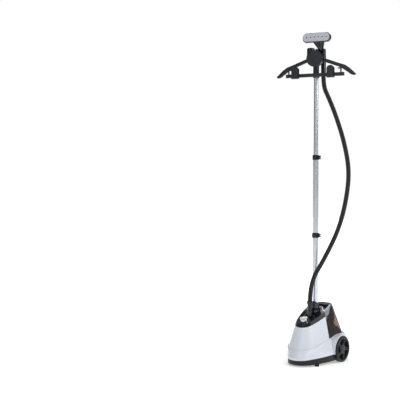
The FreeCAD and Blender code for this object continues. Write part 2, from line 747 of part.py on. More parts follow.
ramp = ramp_at("ramp", 0)
ramp_gap = ramp_at("ramp_gap", gap)
ramp_floor = ramp_at("ramp_floor", gap + S["tank_wall"])
cap_z = ramp_height(S["cap_y"])
wall = S["tank_wall"]
dome_form = form("dome_form", ("waist", "lip"), wall + gap)
cap_room = cylinder("cap_room", S["cap_radius"] + 3, 60, 0, POLE + S["cap_y"], cap_z - 22.3)
dome = common("dome", dome_form, tank_space("dome_space", seam + 0.5 + wall + gap, 0), ramp)
dome_core = common("dome_core", form("dome_core_form", ("waist", "lip"), wall + gap + 3),
                   tank_space("dome_core_space", seam + wall + 4.5, -1),
                   ramp_at("dome_core_ramp", -3))
column_form = cylinder("column_form", S["column_radius"], S["boss_bottom_z"] - 60, 0, POLE, 60)
column_keep = cylinder("column_keep", S["column_radius"], 200, 0, POLE, 60)
cap_wall = cylinder("cap_wall", S["cap_radius"] + 6, 60, 0, POLE + S["cap_y"], cap_z - 25.3)
column = common("column", column_form, tank_space("column_space", seam, 0))
dome_hollow = cut("dome_hollow", dome_core, column_keep, cap_wall)
socket_room = cylinder("socket_room", 18.9, 40, 0, POLE, floor_z - 5)
node("tank_dock", cut("dock", fuse("dock_sum", cut("dome_shell", dome, dome_hollow), column), cap_room, socket_room))

lid_top = box("above_lid", -FAR, -FAR, S["lid_top_z"], 2 * FAR, 2 * FAR, FAR)
recess = cylinder("column_recess", S["recess_radius"], 300, 0, POLE, 60)
recess_wall = cylinder("column_recess_wall", S["recess_radius"] + wall, 300, 0, POLE, 60)


def tank_form(name, inset=0):
    """The tank's outside from the waist to the rim, drawn in by inset."""
    return form(name, ("waist", "lip", "rim"), inset)


outer = common("tank_outer", tank_form("tank_outside"), tank_space("tank_hold", seam + 0.5, 0.5))
skirt_room = common("skirt_room", form("skirt_form", ("waist", "lip"), wall),
                    tank_space("skirt_space", seam + 0.5 + wall, -5), ramp_gap)
water_form = tank_form("water_form", wall)
water_space = tank_space("water_space", seam + 0.5 + wall, 3)
water = cut("water_room", common("water_all", water_form, water_space), ramp_floor, recess_wall)
over_lid = over("over_lid", "rim", -S["lid_depth"])
cap_hole = cylinder("cap_hole", S["cap_radius"] + S["fit_gap"], 90, 0, POLE + S["cap_y"], cap_z - 30)
node("tank_shell", cut("tank", outer, recess, skirt_room, water, over_lid, lid_top, cap_hole))

trim_y, trim_z = S["trim_end_y"], S["trim_end_z"]
trim_gap = side_prism("trim_space", [(seam + 0.5, trim_z - 61), (trim_y - 37, trim_z - 61),
                                     (trim_y + 17.6, trim_z + 29), (seam + 0.5, trim_z + 29)], WIDE)
trim_out = common("trim_out", stack, trim_gap)
node("tank_trim", cut("trim", trim_out, tank_form("trim_inside")))

tray_z = S["lid_top_z"] - S["tray_depth"]
lid_slab = common("lid_slab", tank_form("lid_outside"), over_lid, tank_space("lid_space", seam + 0.5, 0))
basin_out = common("basin_out", tank_form("basin_form", 6), box("basin_block", -FAR, POLE + 6, tray_z - 3,
                                                                 2 * FAR, FAR, 40))
tray = cut("tray", common("tray_all", tank_form("tray_form", S["tray_rim"]),
                          box("tray_block", -FAR, POLE + 9, tray_z, 2 * FAR, FAR, 60)),
           cylinder("tray_back", S["recess_radius"] + wall + gap + 3, 300, 0, POLE, 60))
basin_free = cut("basin_free", basin_out, cylinder("basin_back", S["recess_radius"] + wall + gap, 300, 0, POLE, 60))
node("tank_lid", cut("lid", fuse("lid_sum", lid_slab, basin_free), recess, tray, lid_top, over("lid_over_rim", "rim")))

cap_at = POLE + S["cap_y"]
cap_rad = S["cap_radius"]
node("tank_cap", turned("cap_body", [(3, -8.3), (cap_rad, -8.3), (cap_rad, 9.7), (6, 9.7), (6, -2.3), (3, -2.3)],
                        0, cap_at, cap_z))

# loop handle behind the tank
def grooved_loop(name, points, radii):
    """A flat bar with two grooves along each side, swept through (y from the pole, z) points."""
    corners = [Vector(0, float(POLE + y), float(z)) for y, z in points]
    path = doc.addObject("Part::Feature", name + "_path")
    path.Shape = rounded_path(corners, radii)
    half, thick = S["grip_wide"] / 2, S["grip_thick"] / 2
    deep, wide_cut, middle = S["groove_deep"], S["groove_wide"] / 2, S["groove_at"]
    side = [(half - 2.5, -thick), (half, 2.5 - thick)]
    for at in (-middle, middle):
        side += [(half, at - wide_cut), (half - deep, at - wide_cut), (half - deep, at + wide_cut), (half, at + wide_cut)]
    side += [(half, thick - 2.5), (half - 2.5, thick)]
    outline = side + [(-x, z) for x, z in reversed(side)]
    owner = body(name + "_section")
    ahead = corners[1] - corners[0]
    lean = math.degrees(math.atan2(ahead.z, ahead.y))
    section = sketch(owner, name + "_outline", "XZ_Plane")
    section.AttachmentOffset = Placement(Vector(0, corners[0].z, -corners[0].y), Rotation(X_AXIS, lean))
    polygon(section, outline)
    sweep = doc.addObject("Part::Sweep", name)
    sweep.Sections = [section]
    sweep.Spine = (path, ["Edge%d" % i for i in range(1, len(path.Shape.Edges) + 1)])
    sweep.Solid = True
    sweep.Frenet = False
    return sweep


wide_loop = side_prism("loop_root", [(58, 280), (84, 284), (102, 285), (112, 281), (112, 262), (60, 262)], 60)
root_plan = body("root_plan")
root_drawing = polygon(sketch(root_plan, "root_plan_sketch"),
                       [(-S["root_wide"] / 2, POLE + 57), (S["root_wide"] / 2, POLE + 57),
                        (S["grip_wide"] / 2, POLE + 112), (-S["grip_wide"] / 2, POLE + 112)])
pad(root_plan, root_drawing, "root_plan_pad", FAR)
loop = grooved_loop("loop", [(62, 273.7), (113, 279), (141, 259), (152, 214), (150, 171), (112, 171)],
                    [40, 45, 80, 16])
loop_sum = fuse("loop_sum", loop, common("loop_wide", wide_loop, root_plan))
below_lid = box("below_lid_top", -FAR, POLE - 50, 100, 2 * FAR, 50 + 87, S["lid_top_z"] - 100)
node("tank_handle", cut("handle", loop_sum, common("tank_solid", tank_form("handle_inside"),
                                                           box("handle_under", -FAR, -FAR, 0, 2 * FAR, 2 * FAR,
                                                               S["lid_top_z"]))))

# ------------------------------------------------------------------ wheels, drawn with the axle along Z
wheel_r, wide = S["wheel_radius"], S["wheel_wide"]
felloe = wheel_r - S["tyre_deep"]
rim_in = felloe - S["rim_deep"]
hub_r = S["hub_radius"]
bore = S["axle_radius"] + S["fit_gap"]
cap_r = S["hub_cap_radius"]


def wheel(side):
    """A dished wheel: five pairs of bars, each set to one side of its radius, close up from the hub to the rim."""
    name = "wheel_" + side
    owner = body(name + "_body")
    floor = S["dish_floor"]
    profile = [(bore, 2), (rim_in, 2), (rim_in, 0), (felloe, 0), (felloe, wide - 2),
               (felloe - 2, wide), (rim_in + 1, wide), (rim_in, wide - 1), (rim_in - 2, floor), (hub_r, floor),
               (hub_r, wide - 4), (hub_r - 1, wide - 3), (cap_r, wide - 3), (cap_r, wide - 5),
               (cap_r - 1.5, wide - 5), (cap_r - 1.5, floor), (bore + 2.5, floor), (bore + 2.5, wide - 5),
               (bore, wide - 5)]
    revolve(owner, polygon(sketch(owner, name + "_profile", "XZ_Plane"), profile), name + "_turn")
    bars = sketch(owner, name + "_bars", "XY_Plane", 0, 0, floor - 1)
    for sign, root in ((-1, hub_r - 4), (1, hub_r - 7)):
        near = S["spoke_offset"] + sign * S["spoke_gap"] / 2
        end = S["spoke_offset"] + sign * S["spoke_gap_at_rim"] / 2
        wider = sign * S["spoke_wide"]
        polygon(bars, [(root, near), (root, near + wider), (rim_in - 0.5, end + wider), (rim_in - 0.5, end)])
    first = pad(owner, bars, name + "_bar_pair", wide - 3 - floor)
    around = owner.newObject("PartDesign::PolarPattern", name + "_five")
    around.Originals = [first]
    around.Axis = (bars, ["N_Axis"])
    around.Angle = 360
    around.Occurrences = 5
    owner.Tip = around
    return owner


def hub_cap(side):
    """The disc that snaps over the axle's end, with three square holes round its middle."""
    name = "cap_%s" % side
    owner = body(name + "_body")
    fit_r = cap_r - 0.1
    profile = [(0, wide - 5), (fit_r, wide - 5), (fit_r, wide - 2.6), (fit_r - 0.8, wide - 1.8), (0, wide - 1.8)]
    revolve(owner, polygon(sketch(owner, name + "_profile", "XZ_Plane"), profile), name + "_turn")
    square = sketch(owner, name + "_square", "XY_Plane", 0, 0, wide)
    half, middle = S["hub_square"] / 2, S["hub_square_at"]
    polygon(square, [(middle - half, -half), (middle + half, -half), (middle + half, half), (middle - half, half)])
    hole = owner.newObject("PartDesign::Pocket", name + "_hole")
    hole.Profile = square
    hole.Length = 8
    around = owner.newObject("PartDesign::PolarPattern", name + "_three")
    around.Originals = [hole]
    around.Axis = (square, ["N_Axis"])
    around.Angle = 360
    around.Occurrences = 3
    owner.Tip = around
    return owner


for side, sign in (("right", 1), ("left", -1)):
    turn = Rotation(Y_AXIS, 90 * sign)
    inner_x = (S["wheel_face_x"] - wide) * sign
    at = (inner_x, POLE + S["wheel_y"], wheel_z, turn)
    node("wheel_" + side, place(wheel(side), *at))
    node("tyre_" + side, turned("tyre_%s_body" % side, [(felloe, 1), (wheel_r - 2, 1), (wheel_r, 3),
                                                         (wheel_r, wide - 4), (wheel_r - 2, wide - 2),
                                                         (felloe, wide - 2)], *at))
    node("hub_cap_" + side, place(hub_cap(side), *at[:3], turn.multiply(Rotation(Z_AXIS, 28))))

# ------------------------------------------------------------------ telescopic pole
HANGER = S["hanger_turn"]


def with_hanger(shape_object):
    """Stand a piece drawn along and across the hanger's bar on the pole, turned as the hanger is."""
    placed = place(shape_object, 0, POLE, 0, Rotation(Z_AXIS, float(HANGER)))
    bind(placed, "Placement.Rotation.Angle", HANGER)
    return placed


def along_front(name, radius, low, high, s, z):
    """A cylinder that runs from front to back of the hanger, between two distances in front of the pole."""
    return cylinder(name, radius, high - low, s, -low, z, Rotation(X_AXIS, 90))


thin = S["tube_wall"]
low_r, mid_r, top_r = S["lower_tube_radius"], S["middle_tube_radius"], S["upper_tube_radius"]
low_top = S["lower_tube_top_z"]
mid_top = low_top + S["middle_tube_shows"]
top_z = mid_top + S["upper_tube_shows"]
node("lower_tube", tube("lower_tube_body", low_r, low_r - thin, floor_z, low_top, 0, POLE, 0))
node("middle_tube", tube("middle_tube_body", mid_r, mid_r - thin, low_top - S["tube_overlap"], mid_top, 0, POLE, 0))
node("upper_tube", tube("upper_tube_body", top_r, top_r - thin, mid_top - S["tube_overlap"], top_z, 0, POLE, 0))


def collar(name, outer_tube, inner_tube, top):
    """A clamp collar over the end of the outer tube, with two lugs, and its flip lever on an upright pin."""
    fit = S["fit_gap"]
    reach = outer_tube + S["collar_wall"]
    low, high = top - S["collar_tall"] + 5, top + 5
    ring = turned(name + "_ring", [(outer_tube, low), (reach - 1, low), (reach, low + 1), (reach, high - 3),
                                   (reach - 1.5, high), (inner_tube + fit, high), (inner_tube + fit, top),
                                   (outer_tube, top)])
    pin_s = outer_tube + 8.5
    lug = box(name + "_lug", outer_tube - 1, -5, low + 3, 13.5, 10, 18)
    slot = box(name + "_slot", outer_tube + S["collar_wall"] + 0.5, -30, low + 7, 40, 60, 10)
    inside = cylinder(name + "_inside", outer_tube, 60, 0, 0, low - 20)
    pin_hole = cylinder(name + "_pin_hole", S["lever_pin_radius"], 60, pin_s, 0, low - 20)
    piece = cut(name + "_all", fuse(name + "_sum", ring, cut(name + "_lug_cut", lug, inside)), slot, pin_hole)
    node(name, with_hanger(piece))
    pin = fuse(name + "_pin", cylinder(name + "_pin_shank", S["lever_pin_radius"], 18, pin_s, 0, low + 3),
               cylinder(name + "_pin_head", S["lever_pin_radius"] + 0.9, 1.2, pin_s, 0, low + 21))
    knuckle = cylinder(name + "_knuckle", 3.6, 9.6, pin_s, 0, low + 7.2)
    plate = box(name + "_plate", pin_s + 0.6, -S["lever_long"], low + 7.2, 3, S["lever_long"], 9.6)
    hole = cylinder(name + "_lever_hole", S["lever_pin_radius"] + fit + 0.2, 60, pin_s, 0, low - 20)
    lever = cut(name + "_lever", fuse(name + "_lever_sum", knuckle, plate), hole)
    node(name.replace("collar", "lever"), with_hanger(lever))
    return pin


pins = [collar("lower_collar", low_r, mid_r, low_top), collar("upper_collar", mid_r, top_r, mid_top)]
for name, pin in zip(("lower_pin", "upper_pin"), pins):
    node(name, with_hanger(pin))

# ------------------------------------------------------------------ hanger, drawn along X and in front towards -Y
hub_z = top_z + S["hub_rise"]
hub_low = hub_z - S["hub_drop"]
cradle_z = hub_z + 15
arm_mid, arm_thick = S["arm_front"], S["arm_thick"]
arm_back, arm_fore = arm_mid - arm_thick / 2, arm_mid + arm_thick / 2
pivot_s, pivot_z = S["arm_pivot_s"], hub_z - S["pivot_drop"]
stem = turned("stem", [(top_r + S["fit_gap"], hub_low), (S["hub_body_radius"], hub_low),
                       (S["hub_body_radius"], cradle_z), (0, cradle_z), (0, top_z), (top_r + S["fit_gap"], top_z)])
back_plate = cut("hub_back", along_front("hub_back_disc", 36, arm_back - 9, arm_back - 0.4, 0, pivot_z),
                 box("hub_back_over", -60, -60, cradle_z, 120, 120, 60))
spacer = box("hub_spacer", -14, -(arm_fore + 3), hub_z - 31, 28, arm_fore + 12, 46)
shelf = box("hub_shelf", -38, -(arm_fore + 0.4), hub_z + 10, 81, arm_fore + 30, 5)
pivots = [along_front("pivot_%d" % i, 4, arm_back - 1, arm_fore + 3, s, pivot_z)
          for i, s in enumerate((pivot_s, -pivot_s))]
drum_z = hub_z + 11
drum = fuse("drum", cylinder("drum_low", S["drum_radius"], 40, S["drum_s"], -10, drum_z),
            cylinder("drum_top", S["drum_radius"] - 3, S["drum_rise"] - 11, S["drum_s"], -10, drum_z))
tube_room = cylinder("tube_room", top_r + S["fit_gap"], top_z - hub_low + 24, 0, 0, hub_low - 24)
hub_sum = fuse("hub_sum", stem, back_plate, spacer, shelf, drum, *pivots)
disc_low, disc_high = arm_fore + 3, arm_fore + 3 + S["hub_disc_thick"]
disc = along_front("hub_disc_form", S["hub_disc_radius"], disc_low, disc_high, -2, hub_z)
drum_clear = cut("hub_clear", hub_sum, tube_room, disc)
node("hanger_hub", with_hanger(drum_clear))
disc_soft = rounded("hub_disc_soft", disc, 4, lambda edge: abs(edge.BoundBox.YMin + float(disc_high)) < 0.01
                    and edge.BoundBox.YLength < 0.01)
node("hub_disc", with_hanger(disc_soft))

cradle = cut("cradle", box("cradle_block", -3, -6, cradle_z, 45, 34, 35),
             box("cradle_slot", 6, -50, cradle_z + 12.7, 32, 120, 60),
             cylinder("drum_gap", S["drum_radius"] + 0.4, 60, S["drum_s"], -10, drum_z))
node("head_cradle", with_hanger(cradle))


def arm(side, sign):
    """An arm that slopes down from its pivot to a drooping paddle."""
    owner = body("arm_%s_body" % side)
    tip, low = S["arm_span"], pivot_z - S["arm_drop"]
    outline = [(pivot_s - 4, pivot_z + 9), (pivot_s + 2, pivot_z + 9.5), (tip - 85, low + 62), (tip - 53, low + 51),
               (tip - 31, low + 36), (tip - 13, low + 19), (tip, low + 6), (tip, low), (tip - 7, low - 2),
               (tip - 21, low + 1), (tip - 43, low + 17), (tip - 63, low + 31), (tip - 87, low + 44),
               (pivot_s + 16, pivot_z - 15), (pivot_s + 6, pivot_z - 9), (pivot_s - 4, pivot_z - 9)]
    drawing = polygon(sketch(owner, "arm_%s_outline" % side, "XZ_Plane"), [(s * sign, z) for s, z in outline])
    pad(owner, drawing, "arm_%s_pad" % side, arm_thick, middle=True)
    place(owner, 0, -arm_mid, 0)
    eye = along_front("eye_" + side, 10, arm_back, arm_fore, pivot_s * sign, pivot_z)
    hole = along_front("eye_hole_" + side, 4 + S["fit_gap"], arm_back - 5, arm_fore + 5, pivot_s * sign, pivot_z)
    node("arm_" + side, with_hanger(cut("arm_%s_cut" % side, fuse("arm_%s_sum" % side, owner, eye), hole)))


arm("right", 1)
arm("left", -1)

bar_low, bar_tall, bar_thick, bar_front = hub_z - S["bar_drop"], S["bar_tall"], S["bar_thick"], S["bar_front"]
left_s, right_s = S["bar_left_s"], S["bar_right_s"]
bar_fore = bar_front + bar_thick / 2
bar = box("bar", left_s, -bar_fore, bar_low, right_s - left_s, bar_thick, bar_tall)
hooks = []
for i, (s, turn_in) in enumerate(((-138, 0), (130, -12))):
    hooks.append(box("hook_post_%d" % i, s, -bar_fore, bar_low + bar_tall - 1, 6, bar_thick, 24))
    hooks.append(box("hook_top_%d" % i, s + turn_in, -bar_fore, bar_low + bar_tall + 17, 18, bar_thick, 6))
yoke = fuse("yoke", box("yoke_block", -11, -(bar_front - 3), bar_low, 22, bar_front, bar_tall),
            cylinder("yoke_ring", S["hub_body_radius"] + 3, bar_tall, 0, 0, bar_low))
bar_all = cut("bar_all", fuse("bar_sum", bar, yoke, *hooks), cylinder("yoke_hole", S["hub_body_radius"], 100, 0, 0,
                                                                      bar_low - 27))
node("trouser_bar", with_hanger(bar_all))


def clip(side, s):
    """A trouser clip: a back that slides on the bar and a sprung front jaw on a pin above the bar."""
    half = S["clip_wide"] / 2
    top, low = bar_low + S["clip_rise"], bar_low - S["clip_drop"]
    back_d, fit = bar_front - 10, S["fit_gap"]
    name = "clip_" + side
    plate = box(name + "_plate", s - half, -(back_d + 4), low, half * 2, 4, top - low - 6)
    crown = box(name + "_crown", s - half + 7, -(back_d + 4), top - 8, half * 2 - 14, 4, 8)
    block = box(name + "_block", s - half, -(bar_fore + 4), bar_low - 1.6, half * 2, 15, bar_tall + 3.2)
    lugs = box(name + "_lugs", s - half + 6, -(back_d + 17), bar_low + bar_tall, half * 2 - 12, 14, 15)
    lip = box(name + "_lip", s - half, -(back_d + 10), low - 1, half * 2, 8, 3.6)
    bar_hole = box(name + "_bar_hole", s - 60, -(bar_fore + fit), bar_low - fit, 120, bar_thick + fit * 2,
                   bar_tall + fit * 2)
    knuckle_room = box(name + "_room", s - 6.3, -(back_d + 40), bar_low + bar_tall + 2, 12.6, 34, 30)
    pin_z, pin_d = bar_low + bar_tall + 10, back_d + 12
    pin = cylinder(name + "_pin", 1.6, half * 2 - 12, s - half + 6, -pin_d, pin_z, ALONG_X)
    back = fuse(name + "_back_sum", cut(name + "_cut", fuse(name + "_sum", plate, crown, block, lugs, lip), bar_hole,
                                        knuckle_room), pin)
    node(name + "_back", with_hanger(back))
    front_d = bar_fore + 4.6
    jaw_plate = box(name + "_jaw_plate", s - half, -(front_d + 4), low, half * 2, 4, top - low - 6)
    jaw_crown = box(name + "_jaw_crown", s - half + 7, -(front_d + 4), top - 8, half * 2 - 14, 4, 8)
    jaw_lip = box(name + "_jaw_lip", s - half, -(front_d + 2), low - 1, half * 2, front_d - back_d - 8.4, 2.2)
    knuckle = box(name + "_knuckle", s - 6, -(front_d + 1), pin_z - 4, 12, front_d + 1 - pin_d, 8)
    eye = cylinder(name + "_eye", 4, 12, s - 6, -pin_d, pin_z, ALONG_X)
    eye_hole = cylinder(name + "_eye_hole", 1.6 + fit, 20, s - 10, -pin_d, pin_z, ALONG_X)
    jaw = cut(name + "_jaw_cut", fuse(name + "_jaw_sum", jaw_plate, jaw_crown, jaw_lip, knuckle, eye), eye_hole)
    node(name + "_jaw", with_hanger(jaw))


clip("left", S["clip_left_s"])
clip("right", S["clip_right_s"])

# ------------------------------------------------------------------ steam head and its handle
head_z, head_s = hub_z + S["head_rise"], S["head_s"]
head_wide, head_tall = S["head_wide"], S["head_tall"]
head_fore, head_deep = S["head_front"], S["head_deep"]


def oblong(name, middle_s, middle_z, long, tall, back, fore):
    """A flat block with round ends across the head, between two distances in front of the pole."""
    plain = box(name + "_block", middle_s - long / 2, -fore, middle_z - tall / 2, long, fore - back, tall)
    corner = float(tall) / 2 - 2
    return rounded(name, plain, corner, lambda edge: edge.BoundBox.YLength > 1)


shell_block = oblong("head_block", head_s, head_z, head_wide, head_tall, head_fore - head_deep, head_fore)
head_soft = rounded("head_soft", shell_block, 7, lambda edge: abs(edge.BoundBox.YMax + float(head_fore)
                                                                  - float(head_deep)) < 0.01
                    and edge.BoundBox.YLength < 0.01)
plate_z = head_z + S["plate_lift"]
plate = oblong("plate_block", head_s + S["plate_shift"], plate_z, S["plate_wide"], S["plate_tall"], head_fore,
               head_fore + S["plate_thick"])
vents = [along_front("vent_%d" % i, S["hole_radius"], head_fore - 5, head_fore + 10,
                     head_s + S["hole_pitch"] * (i - 2.5), plate_z) for i in range(6)]
node("head_plate", with_hanger(cut("plate_vents", plate, *vents)))

handle_s, handle_y = S["handle_s"], -S["handle_front"]
handle_top = hub_z + S["handle_rise"] - S["handle_radius"]
handle_low = hub_z + S["handle_rise"] - S["handle_long"]


def swept(name, points, radii, radius):
    """A round bar swept along a path."""
    path = doc.addObject("Part::Feature", name + "_path")
    path.Shape = rounded_path(points, radii)
    ring = doc.addObject("Part::Circle", name + "_ring")
    ring.Radius = float(radius)
    bind(ring, "Radius", radius)
    along = (points[1] - points[0]).normalize()
    ring.Placement = Placement(points[0], Rotation(Z_AXIS, along))
    sweep = doc.addObject("Part::Sweep", name)
    sweep.Sections = [ring]
    sweep.Spine = (path, ["Edge%d" % i for i in range(1, len(path.Shape.Edges) + 1)])
    sweep.Solid = True
    sweep.Frenet = False
    return sweep


neck_points = [Vector(float(head_s) + 4, -3, float(head_z) - 10), Vector(float(handle_s) - 1, 2, float(handle_top)),
               Vector(float(handle_s), float(handle_y), float(handle_top)),
               Vector(float(handle_s), float(handle_y), float(handle_low))]
neck = swept("neck", neck_points, [20, 20], S["handle_radius"])
throat_body = body("throat_body")
throat_top, throat_low = head_z - S["head_tall"] / 2 + 3, handle_top + 7
throat_shape = polygon(sketch(throat_body, "throat_outline", "XZ_Plane", 0, 0, 1),
                       [(head_s - S["throat_left"], throat_top), (head_s + S["throat_right"], throat_top),
                        (handle_s + 12, throat_low), (handle_s - 13, throat_low)])
pad(throat_body, throat_shape, "throat_run", S["throat_deep"], middle=True)
throat = rounded("throat", throat_body, 6, lambda edge: edge.BoundBox.YLength < 0.01 and edge.BoundBox.ZLength > 10)
head_sum = cut("head_sum", fuse("head_fuse", head_soft, neck, throat), plate)
node("head_shell", with_hanger(head_sum))

# ------------------------------------------------------------------ steam hose and its cuff on the port
cuff_r = S["cuff_radius"]
cuff_top = S["cuff_top_z"]
node("hose_cuff", turned("cuff_body", [(5, 236), (bore_r - 0.05, 236), (bore_r - 0.05, S["port_top_z"]),
                                       (12.5, S["port_top_z"]), (13, cuff_top - 12), (cuff_r - 1, cuff_top - 12),
                                       (cuff_r, cuff_top - 11), (cuff_r, cuff_top - 1), (cuff_r - 1, cuff_top),
                                       (5, cuff_top)], 0, port_at, 0))


def seen(lateral, forward, z):
    """A point given across and towards a viewer who stands 31.9 degrees to the right of the nose."""
    side, ahead = 0.849, 0.5284
    return Vector(side * lateral + ahead * forward, float(POLE) + ahead * lateral - side * forward, z)


handle_x = math.cos(math.radians(float(HANGER)))
handle_c = math.sin(math.radians(float(HANGER)))
hose_end = Vector(handle_x * float(handle_s) - handle_c * float(handle_y),
                  float(POLE) + handle_c * float(handle_s) + handle_x * float(handle_y), float(handle_low))
route = [Vector(0, float(port_at), float(cuff_top)), Vector(0, float(port_at), 398), seen(43, 48, 518),
         seen(115, 42, 668), seen(152, 30, 818), seen(166, 18, 960), seen(141, 5, 1100), seen(103, -16, 1225),
         seen(66, -30, 1322), Vector(hose_end.x, hose_end.y, float(handle_low) - 58), hose_end]
bends = []
for before, here, after in zip(route, route[1:], route[2:]):
    shorter = min((here - before).Length, (after - here).Length)
    bends.append(0.45 * shorter / math.tan((here - before).getAngle(after - here) / 2))
print("hose bend radii", [round(radius) for radius in bends])
print("hose runs", [round((b - a).Length) for a, b in zip(route, route[1:])])
hose = node("steam_hose", swept("hose", route, bends, S["hose_radius"]))

# ------------------------------------------------------------------ check every shape, then write the STEP files
doc.recompute()
for shape_object in doc.Objects:
    if "Invalid" in shape_object.State or "Error" in shape_object.State:
        raise SystemExit("%s: %s" % (shape_object.Label, shape_object.State))
os.makedirs("parts", exist_ok=True)
for name, shape_object in NODES.items():
    shape = shape_object.Shape
    if shape.isNull() or not shape.isValid():
        raise SystemExit("%s: shape is null or not valid" % name)
    shape.exportStep("parts/%s.step" % name)
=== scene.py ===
"""Garment steamer: looks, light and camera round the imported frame. Metres, +Z up, -Y the nose."""
import json
import math

import bmesh
import bpy
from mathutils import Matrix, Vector
from mathutils.bvhtree import BVHTree


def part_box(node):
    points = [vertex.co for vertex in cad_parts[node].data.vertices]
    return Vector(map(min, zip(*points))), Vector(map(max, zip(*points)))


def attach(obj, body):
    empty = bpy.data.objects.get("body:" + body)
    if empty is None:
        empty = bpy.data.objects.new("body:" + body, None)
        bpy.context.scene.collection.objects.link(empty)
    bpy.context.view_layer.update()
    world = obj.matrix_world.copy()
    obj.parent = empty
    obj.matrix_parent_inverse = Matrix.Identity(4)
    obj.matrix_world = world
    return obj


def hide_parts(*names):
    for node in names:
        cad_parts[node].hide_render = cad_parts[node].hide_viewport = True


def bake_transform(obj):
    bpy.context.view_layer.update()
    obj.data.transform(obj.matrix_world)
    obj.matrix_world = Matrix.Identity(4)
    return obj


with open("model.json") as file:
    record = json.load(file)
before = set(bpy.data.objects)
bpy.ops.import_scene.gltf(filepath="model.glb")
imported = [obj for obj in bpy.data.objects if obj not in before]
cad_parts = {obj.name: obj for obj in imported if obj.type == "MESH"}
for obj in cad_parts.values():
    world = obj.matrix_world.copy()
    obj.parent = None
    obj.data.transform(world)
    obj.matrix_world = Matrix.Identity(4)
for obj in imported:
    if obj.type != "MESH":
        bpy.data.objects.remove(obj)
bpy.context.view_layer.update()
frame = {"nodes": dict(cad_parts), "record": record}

MM = 0.001
NODES = frame["nodes"]
RECORD = frame["record"]
SLOT = {entry["node"]: entry["material_slot"] for entry in RECORD["subparts"]}
BODY = {node: body for body, nodes in RECORD["behaviour"]["bodies"].items() for node in nodes}
# the pole's axis stands at x = 0 and this y, in mm, and the hanger is turned about it
POLE_Y = 10.0
HANGER_TURN = math.radians(15.5)


def hex_colour(code):
    """An sRGB hex colour as linear RGBA."""
    parts = [int(code[i:i + 2], 16) / 255 for i in (1, 3, 5)]
    return tuple(c / 12.92 if c <= 0.04045 else ((c + 0.055) / 1.055) ** 2.4 for c in parts) + (1.0,)


WHITE = hex_colour("#FFFFFF")


def add(tree, kind, values=(), links=(), **settings):
    """A node with its settings, the values of its inputs and the outputs that feed them."""
    made = tree.nodes.new(kind)
    for key, value in settings.items():
        setattr(made, key, value)
    for key, value in dict(values).items():
        made.inputs[key].default_value = value
    for key, source in dict(links).items():
        tree.links.new(source, made.inputs[key])
    return made


# ------------------------------------------------------------------ camera, light and floor
LENS, SENSOR = 76.67, 36
CAMERA_PLACE = (2.2866, -3.6643, 0.9399)
CAMERA_TURN, CAMERA_TILT = math.radians(39.63), math.radians(1.705)
NEAREST, FARTHEST = 0.1, 60
# the paper room's own light on the steamer: a faintly cool white, and its strength
ROOM_LIGHT, ROOM_STRENGTH = (0.96, 0.98, 1.0, 1), 0.34
# each lamp: kind, place, what it points at, power, and its size or spread
LAMPS = {
    "key": ("AREA", (3.4, 0.2, 2.3), (0, 0, 0.6), 54, {"size": 1.6}),
    "front": ("AREA", (0.6, -4.0, 2.2), (0, 0, 0.7), 12, {"size": 1.8}),
    "rear": ("AREA", (-1.6, 2.8, 2.8), (0, 0, 0.9), 30, {"size": 1.6}),
    "sky": ("SUN", (0, 0, 4), (0, 0, 0), 0.8, {"angle": math.radians(60)}),
}
# the floor's half side, and the ring in which its paper turns from shaded to fully bright, in metres
FLOOR_HALF = 12
SHADED_WITHIN, BRIGHT_BEYOND = 0.2, 1.6
SHADED_GLOW, BRIGHT_GLOW = 0.4, 1.0


def camera():
    """The camera, to the right of the nose and a little above the pole's middle."""
    data = bpy.data.cameras.new("camera")
    data.lens = LENS
    data.sensor_width = SENSOR
    data.clip_start, data.clip_end = NEAREST, FARTHEST
    seat = bpy.data.objects.new("camera", data)
    level = math.cos(CAMERA_TILT)
    ahead = Vector((-math.sin(CAMERA_TURN) * level, math.cos(CAMERA_TURN) * level, -math.sin(CAMERA_TILT)))
    seat.rotation_mode = "QUATERNION"
    seat.rotation_quaternion = ahead.to_track_quat("-Z", "Y")
    seat.location = CAMERA_PLACE
    bpy.context.collection.objects.link(seat)
    bpy.context.scene.camera = seat


def lamp(name, kind, place, aim, power, settings):
    """A lamp on its stand, turned towards what it lights."""
    data = bpy.data.lights.new(name, kind)
    data.energy = power
    for key, value in settings.items():
        setattr(data, key, value)
    stand = bpy.data.objects.new(name, data)
    stand.location = place
    stand.rotation_mode = "QUATERNION"
    stand.rotation_quaternion = (Vector(aim) - Vector(place)).to_track_quat("-Z", "Y")
    bpy.context.collection.objects.link(stand)


def paper():
    """White studio paper that grows brighter away from the steamer, until it can't be told from the room."""
    made = material("white_paper", "#F2F2F2", 0.95, emission_color=WHITE, specular_ior_level=0.0)
    tree = made.node_tree
    place = add(tree, "ShaderNodeTexCoord")
    reach = add(tree, "ShaderNodeVectorMath", {}, {0: place.outputs["Object"]}, operation="LENGTH")
    glow = add(tree, "ShaderNodeMapRange",
               {"From Min": SHADED_WITHIN, "From Max": BRIGHT_BEYOND, "To Min": SHADED_GLOW, "To Max": BRIGHT_GLOW},
               {"Value": reach.outputs["Value"]}, interpolation_type="SMOOTHSTEP")
    tree.links.new(glow.outputs["Result"], tree.nodes["Principled BSDF"].inputs["Emission Strength"])
    return made


